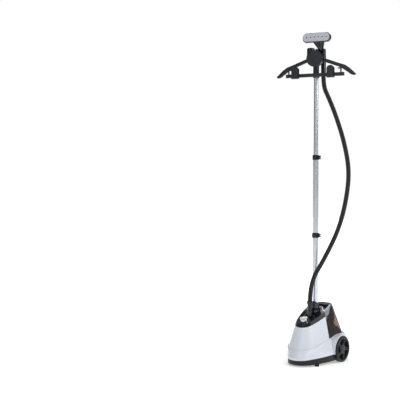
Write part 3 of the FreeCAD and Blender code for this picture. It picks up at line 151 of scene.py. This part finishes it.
def studio():
    """A white paper room: dimmer to the steamer than to the eye, so its blacks stay black."""
    world = bpy.data.worlds.new("studio")
    world.use_nodes = True
    tree = world.node_tree
    room = tree.nodes["Background"]
    room.inputs["Color"].default_value = ROOM_LIGHT
    room.inputs["Strength"].default_value = ROOM_STRENGTH
    white = add(tree, "ShaderNodeBackground", {"Color": WHITE, "Strength": 1.0})
    ray = add(tree, "ShaderNodeLightPath")
    both = add(tree, "ShaderNodeMixShader", {},
               {0: ray.outputs["Is Camera Ray"], 1: room.outputs[0], 2: white.outputs[0]})
    tree.links.new(both.outputs[0], tree.nodes["World Output"].inputs["Surface"])
    bpy.context.scene.world = world
    bpy.context.scene.view_settings.view_transform = "Standard"
    for name, lit in LAMPS.items():
        lamp(name, *lit)
    mesh = bpy.data.meshes.new("floor")
    half = FLOOR_HALF
    mesh.from_pydata([(-half, -half, 0), (half, -half, 0), (half, half, 0), (-half, half, 0)], [], [(0, 1, 2, 3)])
    floor = bpy.data.objects.new("floor", mesh)
    bpy.context.collection.objects.link(floor)
    mesh.materials.append(paper())


# ------------------------------------------------------------------ materials
# with the mottle, the roughness runs between these shares of itself
GLOSSIER, DULLER = 0.85, 1.2


def material(name, colour, roughness, grain=None, mottle=None, **sockets):
    """A finish: grain is the (size mm, depth mm) of its relief, mottle the (size mm, share) of its uneven tone."""
    made = bpy.data.materials.new(name)
    made.use_nodes = True
    tree = made.node_tree
    shader = tree.nodes["Principled BSDF"]
    base = hex_colour(colour)
    shader.inputs["Base Color"].default_value = base
    shader.inputs["Roughness"].default_value = roughness
    for key, value in sockets.items():
        shader.inputs[key.replace("_", " ").title().replace("Ior", "IOR")].default_value = value
    place = add(tree, "ShaderNodeTexCoord")
    if mottle:
        size, share = mottle
        noise = add(tree, "ShaderNodeTexNoise", {"Scale": 1 / (size * MM), "Detail": 3.0},
                    {"Vector": place.outputs["Object"]})
        dark = tuple(c * (1 - share) for c in base[:3]) + (1,)
        tone = add(tree, "ShaderNodeMix", {"A": dark, "B": base}, {"Factor": noise.outputs["Fac"]},
                   data_type="RGBA")
        tree.links.new(tone.outputs["Result"], shader.inputs["Base Color"])
        gloss = add(tree, "ShaderNodeMapRange", {"To Min": roughness * GLOSSIER, "To Max": roughness * DULLER},
                    {"Value": noise.outputs["Fac"]})
        tree.links.new(gloss.outputs["Result"], shader.inputs["Roughness"])
    if grain:
        size, depth = grain
        fine = add(tree, "ShaderNodeTexNoise", {"Scale": 1 / (size * MM), "Detail": 4.0},
                   {"Vector": place.outputs["Object"]})
        bump = add(tree, "ShaderNodeBump", {"Strength": 1.0, "Distance": depth * MM},
                   {"Height": fine.outputs["Fac"]})
        tree.links.new(bump.outputs["Normal"], shader.inputs["Normal"])
    return made


# Mould grain is usually 0.1 to 0.3 mm across. Here it is 0.5 to 1.2 mm, because finer grain doesn't show.
# The orange peel of the gloss mouldings, 2 to 5 mm across, is at its usual size.
MATERIALS = {
    # injection-moulded gloss ABS: cool white, sharp lights, a faint orange peel
    "shell": material("gloss_white_abs", "#D7DBE3", 0.2, (4.0, 0.006), (90, 0.02), coat_weight=0.3,
                      coat_roughness=0.03),
    # spark-eroded ABS of the pan: nearly black with a soft sheen
    "skirt": material("satin_black_abs", "#1B1D20", 0.42, (1.2, 0.05), (20, 0.12), specular_ior_level=0.3),
    # piano-black ABS of the deck, sockets, steam head and tank handle: deep and blue-black, mirror lights
    "deck": material("piano_black_abs", "#12141B", 0.12, (5.0, 0.004), (50, 0.1), specular_ior_level=0.38,
                     coat_weight=0.12, coat_roughness=0.03),
    # fine-grained polypropylene of the saddle: dull dark grey
    "dock": material("grained_grey_pp", "#37383C", 0.5, (1.0, 0.04), (15, 0.12), specular_ior_level=0.4),
    # smoked ABS of the tank's stripes and cap: mid grey, half gloss
    "trim": material("smoked_grey_abs", "#7B7F87", 0.28, (2.0, 0.01), (25, 0.08), coat_weight=0.2),
    # lacquered aluminium cap of the dial: warm satin grey
    "satin": material("lacquered_aluminium_cap", "#A8A19B", 0.34, (0.8, 0.01), (6, 0.06), metallic=0.85),
    # chrome-plated ring: clean mirror with a trace of haze
    "chrome": material("chrome_plate", "#B9BBBF", 0.1, None, (12, 0.04), metallic=1.0),
    # glass-filled polypropylene of the wheels and their hub caps: dark grey, low sheen
    "wheel": material("glass_filled_pp", "#2B2C2F", 0.36, (1.0, 0.04), (12, 0.1), specular_ior_level=0.35),
    # moulded TPR tread ring: soft black, matt
    "tyre": material("moulded_tpr", "#1A1B1D", 0.5, (0.8, 0.06), (8, 0.12), specular_ior_level=0.35),
    # moulded rubber feet and gland: matt black
    "rubber": material("moulded_rubber", "#18181A", 0.7, (0.8, 0.08), (8, 0.12), specular_ior_level=0.3),
    # drawn and anodised aluminium tube: bright, lightly hazed
    "tube": material("anodised_aluminium", "#BDC0C7", 0.28, (0.6, 0.004), (40, 0.04), metallic=1.0),
    # zinc-plated steel of screws, pins, axle and pipe: cool grey, slightly uneven
    "steel": material("zinc_plated_steel", "#A9A9A8", 0.33, None, (6, 0.1), metallic=1.0),
    # die-cast aluminium heater block: rough silver grey
    "cast": material("die_cast_aluminium", "#9A9A98", 0.55, (1.0, 0.08), (8, 0.12), metallic=1.0),
    # moulded ABS of the hanger, the pole's clamps and the hose's cuff: blue-black charcoal, half gloss
    "hanger": material("half_gloss_charcoal_abs", "#15171F", 0.3, (1.0, 0.03), (14, 0.12),
                       specular_ior_level=0.35),
    # enamelled aluminium soleplate: pale silver with a fine sparkle
    "plate": material("enamelled_soleplate", "#AEB0BA", 0.34, (0.8, 0.01), (10, 0.05), metallic=0.4),
    # braided polyester sleeve over a rubber hose: black yarn with a dry sheen, its tone uneven from plait to plait
    "hose": material("braided_polyester", "#1D1E21", 0.72, (0.5, 0.04), (2.5, 0.25), sheen_weight=0.25,
                     sheen_roughness=0.4, specular_ior_level=0.3),
    # moulded smoked polycarbonate: clear, glossy and smoky brown, darker where one wall is seen through another
    "tank": material("smoked_polycarbonate", "#AEA29B", 0.05, None, None, transmission_weight=1.0, ior=1.58),
    # gloss ABS of the tank's lid: slate grey, made lighter partly as a painted reflection of the bright room, on
    # top of the gloss that really mirrors it
    "lid": material("gloss_slate_abs_painted_reflection", "#505563", 0.2, (5.0, 0.004), (50, 0.08), coat_weight=0.4,
                    coat_roughness=0.03),
}
SLOT_MATERIAL = {
    "white_gloss": "shell", "skirt_black": "skirt", "deck_black": "deck", "tank_smoke": "tank",
    "dock_grey": "dock", "trim_grey": "trim", "dial_satin": "satin", "dial_chrome": "chrome",
    "wheel_grey": "wheel", "rubber_black": "rubber", "tyre_black": "tyre", "tube_alu": "tube",
    "steel": "steel", "cast_alu": "cast", "hanger_black": "hanger", "plate_silver": "plate",
    "hose_black": "hose",
}
# nodes that have another finish than their slot's
LOOK = {"tank_lid": "lid", "tank_cap": "trim"}


# ------------------------------------------------------------------ moulded pieces
# in degrees: facets that turn by less are merged, and edges that turn by more are rounded over
FACET_TURN, ROUNDED_TURN = 0.4, 38
# in degrees: edges that turn by more look crisp, on pieces from the CAD and on pieces made here
CRISP_TURN, MADE_CRISP_TURN = 35, 50
# points closer than this are one point, before and after the rounding, in metres
SAME_POINT, SAME_ROUNDED_POINT = 1e-5, 2e-6
# how firmly large faces rule the shading round them
FLAT_WEIGHT = 80
# rounding of each node's edges in mm; a node that isn't named gets EDGE
EDGE = 0.3
ROUNDING = {"arm_left": 1.2, "arm_right": 1.2, "clip_left_back": 0.5, "clip_right_back": 0.5,
            "clip_left_jaw": 0.5, "clip_right_jaw": 0.5, "head_plate": 0.6, "trouser_bar": 0.8,
            "tank_trim": 0.5, "body_shell": 0.5, "base_pan": 0.8, "tank_lid": 0.6, "tank_handle": 0.5,
            "deck_cover": 0.4, "dial_ring": 0.4, "dial_cap": 0.5, "wheel_left": 0.4, "wheel_right": 0.4,
            "tyre_left": 0.8, "tyre_right": 0.8}
# where each clip's middle stands along the hanger, in mm
CLIP_PLACES = {"clip_left": -101.0, "clip_right": 81.0}
# the half-round outline that trims a clip's top: half its width, its foot and its top, in mm
CLIP_HALF, CLIP_LOW, CLIP_TOP = 18.3, 1415.0, 1481.6
# how far that outline reaches, back from the pole's axis, in mm, and the steps of its arch
CLIP_FRONT, CLIP_REAR = -60, 0
CLIP_STEPS = 24
# nodes that are made further below in another way
MADE_HERE = ("steam_hose", "hose_cuff", "pan_screws")


def finished(name, mesh, body, slot, *nodes, look=None):
    """Link a finished mesh, give it its material and body, and let it stand for CAD nodes."""
    piece = bpy.data.objects.new(name, mesh)
    bpy.context.collection.objects.link(piece)
    mesh.materials.clear()
    mesh.materials.append(MATERIALS[look or SLOT_MATERIAL[slot]])
    if body:
        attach(piece, body)
    if nodes:
        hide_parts(*nodes)
    return piece


def smooth_below(work, angle):
    """Shade a mesh smooth, but for edges that turn by more than an angle."""
    limit = math.radians(angle)
    for face in work.faces:
        face.smooth = True
    for edge in work.edges:
        edge.smooth = not (len(edge.link_faces) == 2 and edge.calc_face_angle() > limit)


def as_built(holder):
    """The plain mesh of an object once its modifiers or its curve have been worked out."""
    bpy.context.view_layer.update()
    return bpy.data.meshes.new_from_object(holder.evaluated_get(bpy.context.evaluated_depsgraph_get()))


def even_shading(mesh):
    """Let large faces rule the shading round them, so that flats stay flat beside their rounded edges."""
    holder = bpy.data.objects.new(mesh.name, mesh)
    bpy.context.collection.objects.link(holder)
    weighted = holder.modifiers.new("weighted", "WEIGHTED_NORMAL")
    weighted.keep_sharp = True
    weighted.weight = FLAT_WEIGHT
    result = as_built(holder)
    result.name = mesh.name
    bpy.data.objects.remove(holder)
    return result


def on_hanger(across, back, z):
    """A point by the hanger's own directions in mm: across it, back from the pole's axis, and up."""
    return Vector((math.cos(HANGER_TURN) * across - math.sin(HANGER_TURN) * back,
                   POLE_Y + math.sin(HANGER_TURN) * across + math.cos(HANGER_TURN) * back, z))


def clip_outline(place):
    """A prism with a half-round top that stands across the hanger's bar, at a place along it in mm."""
    turns = [math.pi * k / CLIP_STEPS for k in range(CLIP_STEPS + 1)]
    arch = [(CLIP_HALF * math.cos(turn), CLIP_TOP - CLIP_HALF + CLIP_HALF * math.sin(turn)) for turn in turns]
    corners = [(-CLIP_HALF, CLIP_LOW), (CLIP_HALF, CLIP_LOW)] + arch
    work = bmesh.new()
    front, rear = ([work.verts.new(on_hanger(place + aside, depth, z) * MM) for aside, z in corners]
                   for depth in (CLIP_FRONT, CLIP_REAR))
    work.faces.new(front)
    work.faces.new(list(reversed(rear)))
    for k in range(len(corners)):
        work.faces.new((front[k - 1], front[k], rear[k], rear[k - 1]))
    bmesh.ops.recalc_face_normals(work, faces=work.faces)
    return work


def within(work, outline):
    """The part of one closed mesh that lies within another."""
    holders = []
    for name, shape in (("whole", work), ("outline", outline)):
        mesh = bpy.data.meshes.new(name)
        shape.to_mesh(mesh)
        shape.free()
        holders.append(bpy.data.objects.new(name, mesh))
        bpy.context.collection.objects.link(holders[-1])
    keep = holders[0].modifiers.new("within", "BOOLEAN")
    keep.operation = "INTERSECT"
    keep.object = holders[1]
    result = as_built(holders[0])
    for holder in holders:
        bpy.data.objects.remove(holder)
    kept = bmesh.new()
    kept.from_mesh(result)
    bmesh.ops.remove_doubles(kept, verts=kept.verts, dist=SAME_POINT)
    return kept


def softened(node, bevel):
    """A node's own shape with its facets merged and its sharp edges rounded over, as a mould leaves them."""
    mesh = NODES[node].data.copy()
    mesh.name = node + "_soft"
    work = bmesh.new()
    work.from_mesh(mesh)
    bmesh.ops.remove_doubles(work, verts=work.verts, dist=SAME_POINT)
    bmesh.ops.dissolve_limit(work, angle_limit=math.radians(FACET_TURN), verts=work.verts, edges=work.edges)
    for clip, place in CLIP_PLACES.items():
        if node.startswith(clip):
            work = within(work, clip_outline(place))
    if bevel:
        sharp = [edge for edge in work.edges
                 if len(edge.link_faces) == 2 and edge.calc_face_angle() > math.radians(ROUNDED_TURN)]
        bmesh.ops.bevel(work, geom=sharp, offset=bevel * MM, segments=2, profile=0.5, affect="EDGES",
                        clamp_overlap=False)
        bmesh.ops.remove_doubles(work, verts=work.verts, dist=SAME_ROUNDED_POINT)
    smooth_below(work, CRISP_TURN)
    work.to_mesh(mesh)
    work.free()
    return even_shading(mesh)


def moulded_pieces():
    """Every node that keeps its CAD shape, with its edges rounded over."""
    for node in sorted(NODES):
        if node not in MADE_HERE:
            skin = softened(node, ROUNDING.get(node, EDGE))
            finished(node + "_skin", skin, BODY[node], SLOT[node], node, look=LOOK.get(node))


# ------------------------------------------------------------------ pieces made by geometry nodes
# A plait of such a sleeve is usually about 3 mm across. Here it is twice as coarse, because finer doesn't show.
BRAID = {"strands": 12, "pitch": 5.8 * MM, "depth": 0.5 * MM}
# how much of a crossing lifts one yarn over the other, and the height that lies on the tube's own radius
YARN_LIFT, YARN_MIDDLE = 0.5, 0.9
# the height of the yarn, worked out line by line: name, operation and what goes into it
BRAID_SUMS = (
    ("round", "MULTIPLY", "turn", "strands"),
    ("along", "DIVIDE", "reach", "pitch"),
    ("left_lay", "ADD", "round", "along"),
    ("left_turn", "MULTIPLY", "left_lay", math.pi),
    ("left_wave", "SINE", "left_turn"),
    ("right_lay", "SUBTRACT", "round", "along"),
    ("right_turn", "MULTIPLY", "right_lay", math.pi),
    ("right_wave", "SINE", "right_turn"),
    ("meeting", "MULTIPLY", "left_wave", "right_wave"),
    ("crossing", "MULTIPLY", "meeting", YARN_LIFT),
    ("left_size", "ABSOLUTE", "left_wave"),
    ("over", "ADD", "left_size", "crossing"),
    ("right_size", "ABSOLUTE", "right_wave"),
    ("under", "SUBTRACT", "right_size", "crossing"),
    ("top", "MAXIMUM", "over", "under"),
    ("raised", "SUBTRACT", "top", YARN_MIDDLE),
    ("height", "MULTIPLY", "raised", "depth"),
)
SCREW = {"head_radius": 3.5 * MM, "head_tall": 2.5 * MM, "shank_radius": 1.85 * MM, "shank_long": 20 * MM,
         "slot_long": 3.6 * MM, "slot_wide": 0.8 * MM, "slot_deep": 1.2 * MM}
HEAD_SIDES, SHANK_SIDES = 32, 20
# the cross's two slots: across, along, and share of the depth, so that the two don't end in one plane
SLOTS = (("X", "Y", 1.0), ("Y", "X", 0.9))
# the front pair of screws stands this much nearer to the middle than the rear pair
SCREW_INSET = 12 * MM


def rule(name, **sizes):
    """A geometry tree with a named input for each size: the tree, its input node and the input identifiers."""
    tree = bpy.data.node_groups.new(name, "GeometryNodeTree")
    tree.interface.new_socket("Geometry", in_out="INPUT", socket_type="NodeSocketGeometry")
    keys = {}
    for size, value in sizes.items():
        kind = "NodeSocketInt" if isinstance(value, int) else "NodeSocketFloat"
        socket = tree.interface.new_socket(size, in_out="INPUT", socket_type=kind)
        socket.default_value = value
        keys[size] = socket.identifier
    tree.interface.new_socket("Geometry", in_out="OUTPUT", socket_type="NodeSocketGeometry")
    return tree, add(tree, "NodeGroupInput"), keys


def close_rule(tree, shape, look):
    """End a tree in real geometry with its material."""
    real = add(tree, "GeometryNodeRealizeInstances", {}, {"Geometry": shape})
    painted = add(tree, "GeometryNodeSetMaterial", {"Material": MATERIALS[look]}, {"Geometry": real.outputs[0]})
    add(tree, "NodeGroupOutput", {}, {0: painted.outputs[0]})


def grown(name, mesh, tree, keys, **sizes):
    """The plain mesh that a tree makes from a starting mesh and its sizes."""
    holder = bpy.data.objects.new(name, mesh)
    bpy.context.collection.objects.link(holder)
    modifier = holder.modifiers.new(name, "NODES")
    modifier.node_group = tree
    for size, value in sizes.items():
        modifier[keys[size]] = value
    result = as_built(holder)
    holder.modifiers.remove(modifier)
    bpy.data.objects.remove(holder)
    result.name = name
    work = bmesh.new()
    work.from_mesh(result)
    smooth_below(work, MADE_CRISP_TURN)
    work.to_mesh(result)
    work.free()
    return result


def braid_rule():
    """Yarn that crosses over and under in two slanting directions, raised from the skin of a tube."""
    tree, given, keys = rule("braid", **BRAID)
    found = {size: given.outputs[size] for size in BRAID}
    for mark in ("turn", "reach"):
        read = add(tree, "GeometryNodeInputNamedAttribute", {"Name": mark}, data_type="FLOAT")
        found[mark] = read.outputs["Attribute"]
    for name, operation, *terms in BRAID_SUMS:
        fixed = {k: term for k, term in enumerate(terms) if isinstance(term, float)}
        linked = {k: found[term] for k, term in enumerate(terms) if isinstance(term, str)}
        found[name] = add(tree, "ShaderNodeMath", fixed, linked, operation=operation).outputs[0]
    away = add(tree, "GeometryNodeInputNamedAttribute", {"Name": "away"}, data_type="FLOAT_VECTOR")
    lift = add(tree, "ShaderNodeVectorMath", {},
               {"Vector": away.outputs["Attribute"], "Scale": found["height"]}, operation="SCALE")
    moved = add(tree, "GeometryNodeSetPosition", {},
                {"Geometry": given.outputs["Geometry"], "Offset": lift.outputs[0]})
    close_rule(tree, moved.outputs[0], "hose")
    return tree, keys


def screw_rule():
    """Pan-head screws with a cross recess, one at each point, heads down."""
    tree, given, keys = rule("cross_head_screws", **SCREW)
    size = given.outputs
    head = add(tree, "GeometryNodeMeshCylinder", {"Vertices": HEAD_SIDES},
               {"Radius": size["head_radius"], "Depth": size["head_tall"]})
    shank = add(tree, "GeometryNodeMeshCylinder", {"Vertices": SHANK_SIDES},
                {"Radius": size["shank_radius"], "Depth": size["shank_long"]})
    half_head = add(tree, "ShaderNodeMath", {1: 0.5}, {0: size["head_tall"]}, operation="MULTIPLY")
    half_shank = add(tree, "ShaderNodeMath", {1: 0.5}, {0: size["shank_long"]}, operation="MULTIPLY")
    upper = add(tree, "ShaderNodeMath", {}, {0: size["head_tall"], 1: half_shank.outputs[0]}, operation="ADD")
    raised = []
    for part, middle in ((head, half_head), (shank, upper)):
        rise = add(tree, "ShaderNodeCombineXYZ", {}, {"Z": middle.outputs[0]})
        raised.append(add(tree, "GeometryNodeTransform", {},
                          {"Geometry": part.outputs["Mesh"], "Translation": rise.outputs[0]}).outputs[0])
    recess = add(tree, "GeometryNodeMeshBoolean", {}, {"Mesh 1": raised[0]}, operation="DIFFERENCE")
    for wide, long, share in SLOTS:
        deep = add(tree, "ShaderNodeMath", {1: share}, {0: size["slot_deep"]}, operation="MULTIPLY")
        block = add(tree, "ShaderNodeCombineXYZ", {},
                    {wide: size["slot_wide"], long: size["slot_long"], "Z": deep.outputs[0]})
        cutter = add(tree, "GeometryNodeMeshCube", {}, {"Size": block.outputs[0]})
        tree.links.new(cutter.outputs["Mesh"], recess.inputs["Mesh 2"])
    joined = add(tree, "GeometryNodeJoinGeometry")
    for part in (recess.outputs["Mesh"], raised[1]):
        tree.links.new(part, joined.inputs[0])
    spots = add(tree, "GeometryNodeMeshToPoints", {}, {"Mesh": size["Geometry"]})
    placed = add(tree, "GeometryNodeInstanceOnPoints", {},
                 {"Points": spots.outputs[0], "Instance": joined.outputs[0]})
    close_rule(tree, placed.outputs[0], "steel")
    return tree, keys


def pan_screws():
    """The four screws under the pan."""
    low, high = (Vector(corner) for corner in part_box("pan_screws"))
    radius = SCREW["head_radius"]
    near, far, front, back = low.x + radius, high.x - radius, low.y + radius, high.y - radius
    spots = bpy.data.meshes.new("screw_spots")
    spots.from_pydata([(far - SCREW_INSET, front, low.z), (near + SCREW_INSET, front, low.z), (far, back, low.z),
                       (near, back, low.z)], [], [])
    tree, keys = screw_rule()
    screws = grown("pan_screws_cross_head", spots, tree, keys, **SCREW)
    finished("pan_screws_cross_head", screws, "base", "steel", "pan_screws")


# ------------------------------------------------------------------ steam hose
HOSE_RADIUS = 11 * MM
HOSE_SIDES = 72
HOSE_STEPS = 128
# the heights in metres where one length of the hose meets the next, from bottom to top
HOSE_CUTS = (0.715, 1.187, 1.312)
# the port in the deck: in front of the pole, its height, and how far up the hose rises straight, in mm
PORT_AHEAD, PORT_Z, PORT_RISE = 49.5, 306, 92
# the steam head's neck by the hanger's directions, and how far the hose runs straight below it, in mm
NECK_ACROSS, NECK_BACK, NECK_Z, NECK_STRAIGHT = 24.0, 48.0, 1442.0, 58
# cosine and sine of the 31.9 degrees by which the hose's own plane is turned from the casing's
PLANE_COS, PLANE_SIN = 0.849, 0.5284
# the hose's points between the two in mm: to the right in that plane, in front of it, and up
HOSE_POINTS = ((43, 48, 518), (115, 42, 668), (152, 30, 818), (166, 18, 960), (141, 5, 1100), (103, -16, 1225),
               (66, -30, 1322))


def hose_route():
    """The control points of the hose's line, from the port to the neck, in mm."""
    port_y = POLE_Y - PORT_AHEAD
    swing = [Vector((PLANE_COS * right + PLANE_SIN * front, POLE_Y + PLANE_SIN * right - PLANE_COS * front, z))
             for right, front, z in HOSE_POINTS]
    neck = on_hanger(NECK_ACROSS, NECK_BACK, NECK_Z)
    return [Vector((0, port_y, PORT_Z)), Vector((0, port_y, PORT_Z + PORT_RISE)), *swing,
            Vector((neck.x, neck.y, NECK_Z - NECK_STRAIGHT)), neck]


def smooth_line(points):
    """The line of a NURBS spline through control points, as a list of points in metres."""
    curve = bpy.data.curves.new("hose_line", "CURVE")
    curve.dimensions = "3D"
    spline = curve.splines.new("NURBS")
    spline.points.add(len(points) - 1)
    for knot, point in zip(spline.points, points):
        knot.co = (*(point * MM), 1)
    spline.order_u = 3
    spline.use_endpoint_u = True
    spline.resolution_u = HOSE_STEPS
    holder = bpy.data.objects.new("hose_line", curve)
    bpy.context.collection.objects.link(holder)
    line = [vertex.co.copy() for vertex in as_built(holder).vertices]
    bpy.data.objects.remove(holder)
    return line


def rings_round(path):
    """For each point of a path: the point, two directions across it and how far along it lies."""
    rings, side, reach = [], None, 0.0
    for i, point in enumerate(path):
        reach += (point - path[i - 1]).length if i else 0.0
        ahead = (path[min(i + 1, len(path) - 1)] - path[max(i - 1, 0)]).normalized()
        side = (side - ahead * side.dot(ahead)).normalized() if side else ahead.orthogonal().normalized()
        rings.append((point, side, ahead.cross(side), reach))
    return rings


def hose_length(name, rings):
    """A closed tube round some rings, each point marked with its turn, its reach along and its way outwards."""
    mesh = bpy.data.meshes.new(name)
    work = bmesh.new()
    turn_mark = work.verts.layers.float.new("turn")
    reach_mark = work.verts.layers.float.new("reach")
    away_mark = work.verts.layers.float_vector.new("away")
    rows = []
    for point, side, other, reach in rings:
        row = []
        for k in range(HOSE_SIDES):
            angle = 2 * math.pi * k / HOSE_SIDES
            away = side * math.cos(angle) + other * math.sin(angle)
            corner = work.verts.new(point + away * HOSE_RADIUS)
            corner[turn_mark], corner[reach_mark], corner[away_mark] = k / HOSE_SIDES, reach, away
            row.append(corner)
        rows.append(row)
    for low, high in zip(rows, rows[1:]):
        for k in range(HOSE_SIDES):
            n = (k + 1) % HOSE_SIDES
            work.faces.new((low[k], low[n], high[n], high[k])).smooth = True
    work.faces.new(list(reversed(rows[0])))
    work.faces.new(rows[-1])
    bmesh.ops.recalc_face_normals(work, faces=work.faces)
    work.to_mesh(mesh)
    work.free()
    return mesh


def hose():
    """The hose in four braided lengths, cut at given heights and fixed in place, and its cuff on the base."""
    cuff = finished("hose_cuff_skin", softened("hose_cuff", EDGE), "base", "hanger_black", "hose_cuff")
    rings = rings_round(smooth_line(hose_route()))
    tree, keys = braid_rule()
    inner = [min(range(len(rings)), key=lambda k: abs(rings[k][0].z - z)) for z in HOSE_CUTS]
    cuts = [0, *inner, len(rings) - 1]
    for i, (start, end) in enumerate(zip(cuts, cuts[1:])):
        name = "steam_hose_%d" % (i + 1)
        part = rings[start:end + 1]
        braided = grown(name, hose_length(name, part), tree, keys, **BRAID)
        piece = finished(name, braided, None, "hose_black", "steam_hose")
        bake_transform(piece)


# ------------------------------------------------------------------ ledge along the casing's waist
# the ridge's height at the pole in mm, and how much it climbs towards the rear
RIDGE_Z, RIDGE_LEAN = 122.0, math.radians(13.5)
# the ledge goes this many degrees round from the nose to each side, in so many steps
LEDGE_SWEEP, LEDGE_STEPS = 117, 200
# the middle that it goes round lies this far in front of the pole, in mm
LEDGE_AHEAD = 40
# levels above the ridge in mm where the shell is felt for: the foot's lip, below it, the wall, and above it
LIP_LEVEL, FOOT_LEVEL, WALL_LEVEL, ABOVE_LEVEL = -0.5, -2.5, 1.6, 4.2
# the feeler starts this far out, in metres, and what it finds is evened out so many times
FEELER, EVENINGS = 0.5, 8


def waist_ledge():
    """The soft ledge that closes the joint between the tapering shell and the foot that flares out below it."""
    shell = NODES["body_shell"].data
    tree = BVHTree.FromPolygons([vertex.co for vertex in shell.vertices],
                                [face.vertices for face in shell.polygons])
    across, rearward = Vector((1, 0, 0)), Vector((0, math.cos(RIDGE_LEAN), math.sin(RIDGE_LEAN)))
    up = across.cross(rearward)
    middle = Vector((0, POLE_Y, RIDGE_Z)) * MM - rearward * LEDGE_AHEAD * MM
    turns = [math.radians(-LEDGE_SWEEP + 2 * LEDGE_SWEEP * k / LEDGE_STEPS) for k in range(LEDGE_STEPS + 1)]
    aways = [across * math.sin(turn) - rearward * math.cos(turn) for turn in turns]

    def reach_at(level):
        """How far out the shell lies in each direction at a level above the ridge, evened out along the way."""
        start = middle + up * level * MM
        reach = [FEELER - tree.ray_cast(start + away * FEELER, -away)[3] for away in aways]
        for _ in range(EVENINGS):
            even = [(a + b * 2 + c) / 4 for a, b, c in zip(reach, reach[1:], reach[2:])]
            reach = reach[:1] + even + reach[-1:]
        return reach

    lip, foot, wall, above = (reach_at(level) for level in (LIP_LEVEL, FOOT_LEVEL, WALL_LEVEL, ABOVE_LEVEL))
    mesh = bpy.data.meshes.new("waist_ledge")
    work = bmesh.new()
    rows = []
    for k, away in enumerate(aways):
        out, low, back, high = lip[k] / MM, foot[k] / MM, wall[k] / MM, above[k] / MM
        wide = out - back
        # its section as (reach, level) in mm: up over the foot's lip, in to the wall, up it, and back inside
        profile = [(low - 0.4, -2.6), (low + 0.1, -2.5), (out + 0.14, -0.8), (out - 0.12, -0.1),
                   (out - 0.6, 0.25), (out - 0.5 * wide, 0.45), (back + 0.5, 0.8), (back + 0.12, 1.8),
                   (high + 0.08, 4.1), (high - 0.5, 4.2), (min(back, low) - 1.2, 0.2)]
        rows.append([work.verts.new(middle + (away * reach + up * level) * MM) for reach, level in profile])
    for first, second in zip(rows, rows[1:]):
        for a, b, c, d in zip(first, first[1:] + first[:1], second[1:] + second[:1], second):
            work.faces.new((a, b, c, d)).smooth = True
    work.faces.new(list(reversed(rows[0])))
    work.faces.new(rows[-1])
    bmesh.ops.recalc_face_normals(work, faces=work.faces)
    smooth_below(work, MADE_CRISP_TURN)
    work.to_mesh(mesh)
    work.free()
    finished("waist_ledge", mesh, "base", "white_gloss")


camera()
hose()
moulded_pieces()
waist_ledge()
pan_screws()
studio()
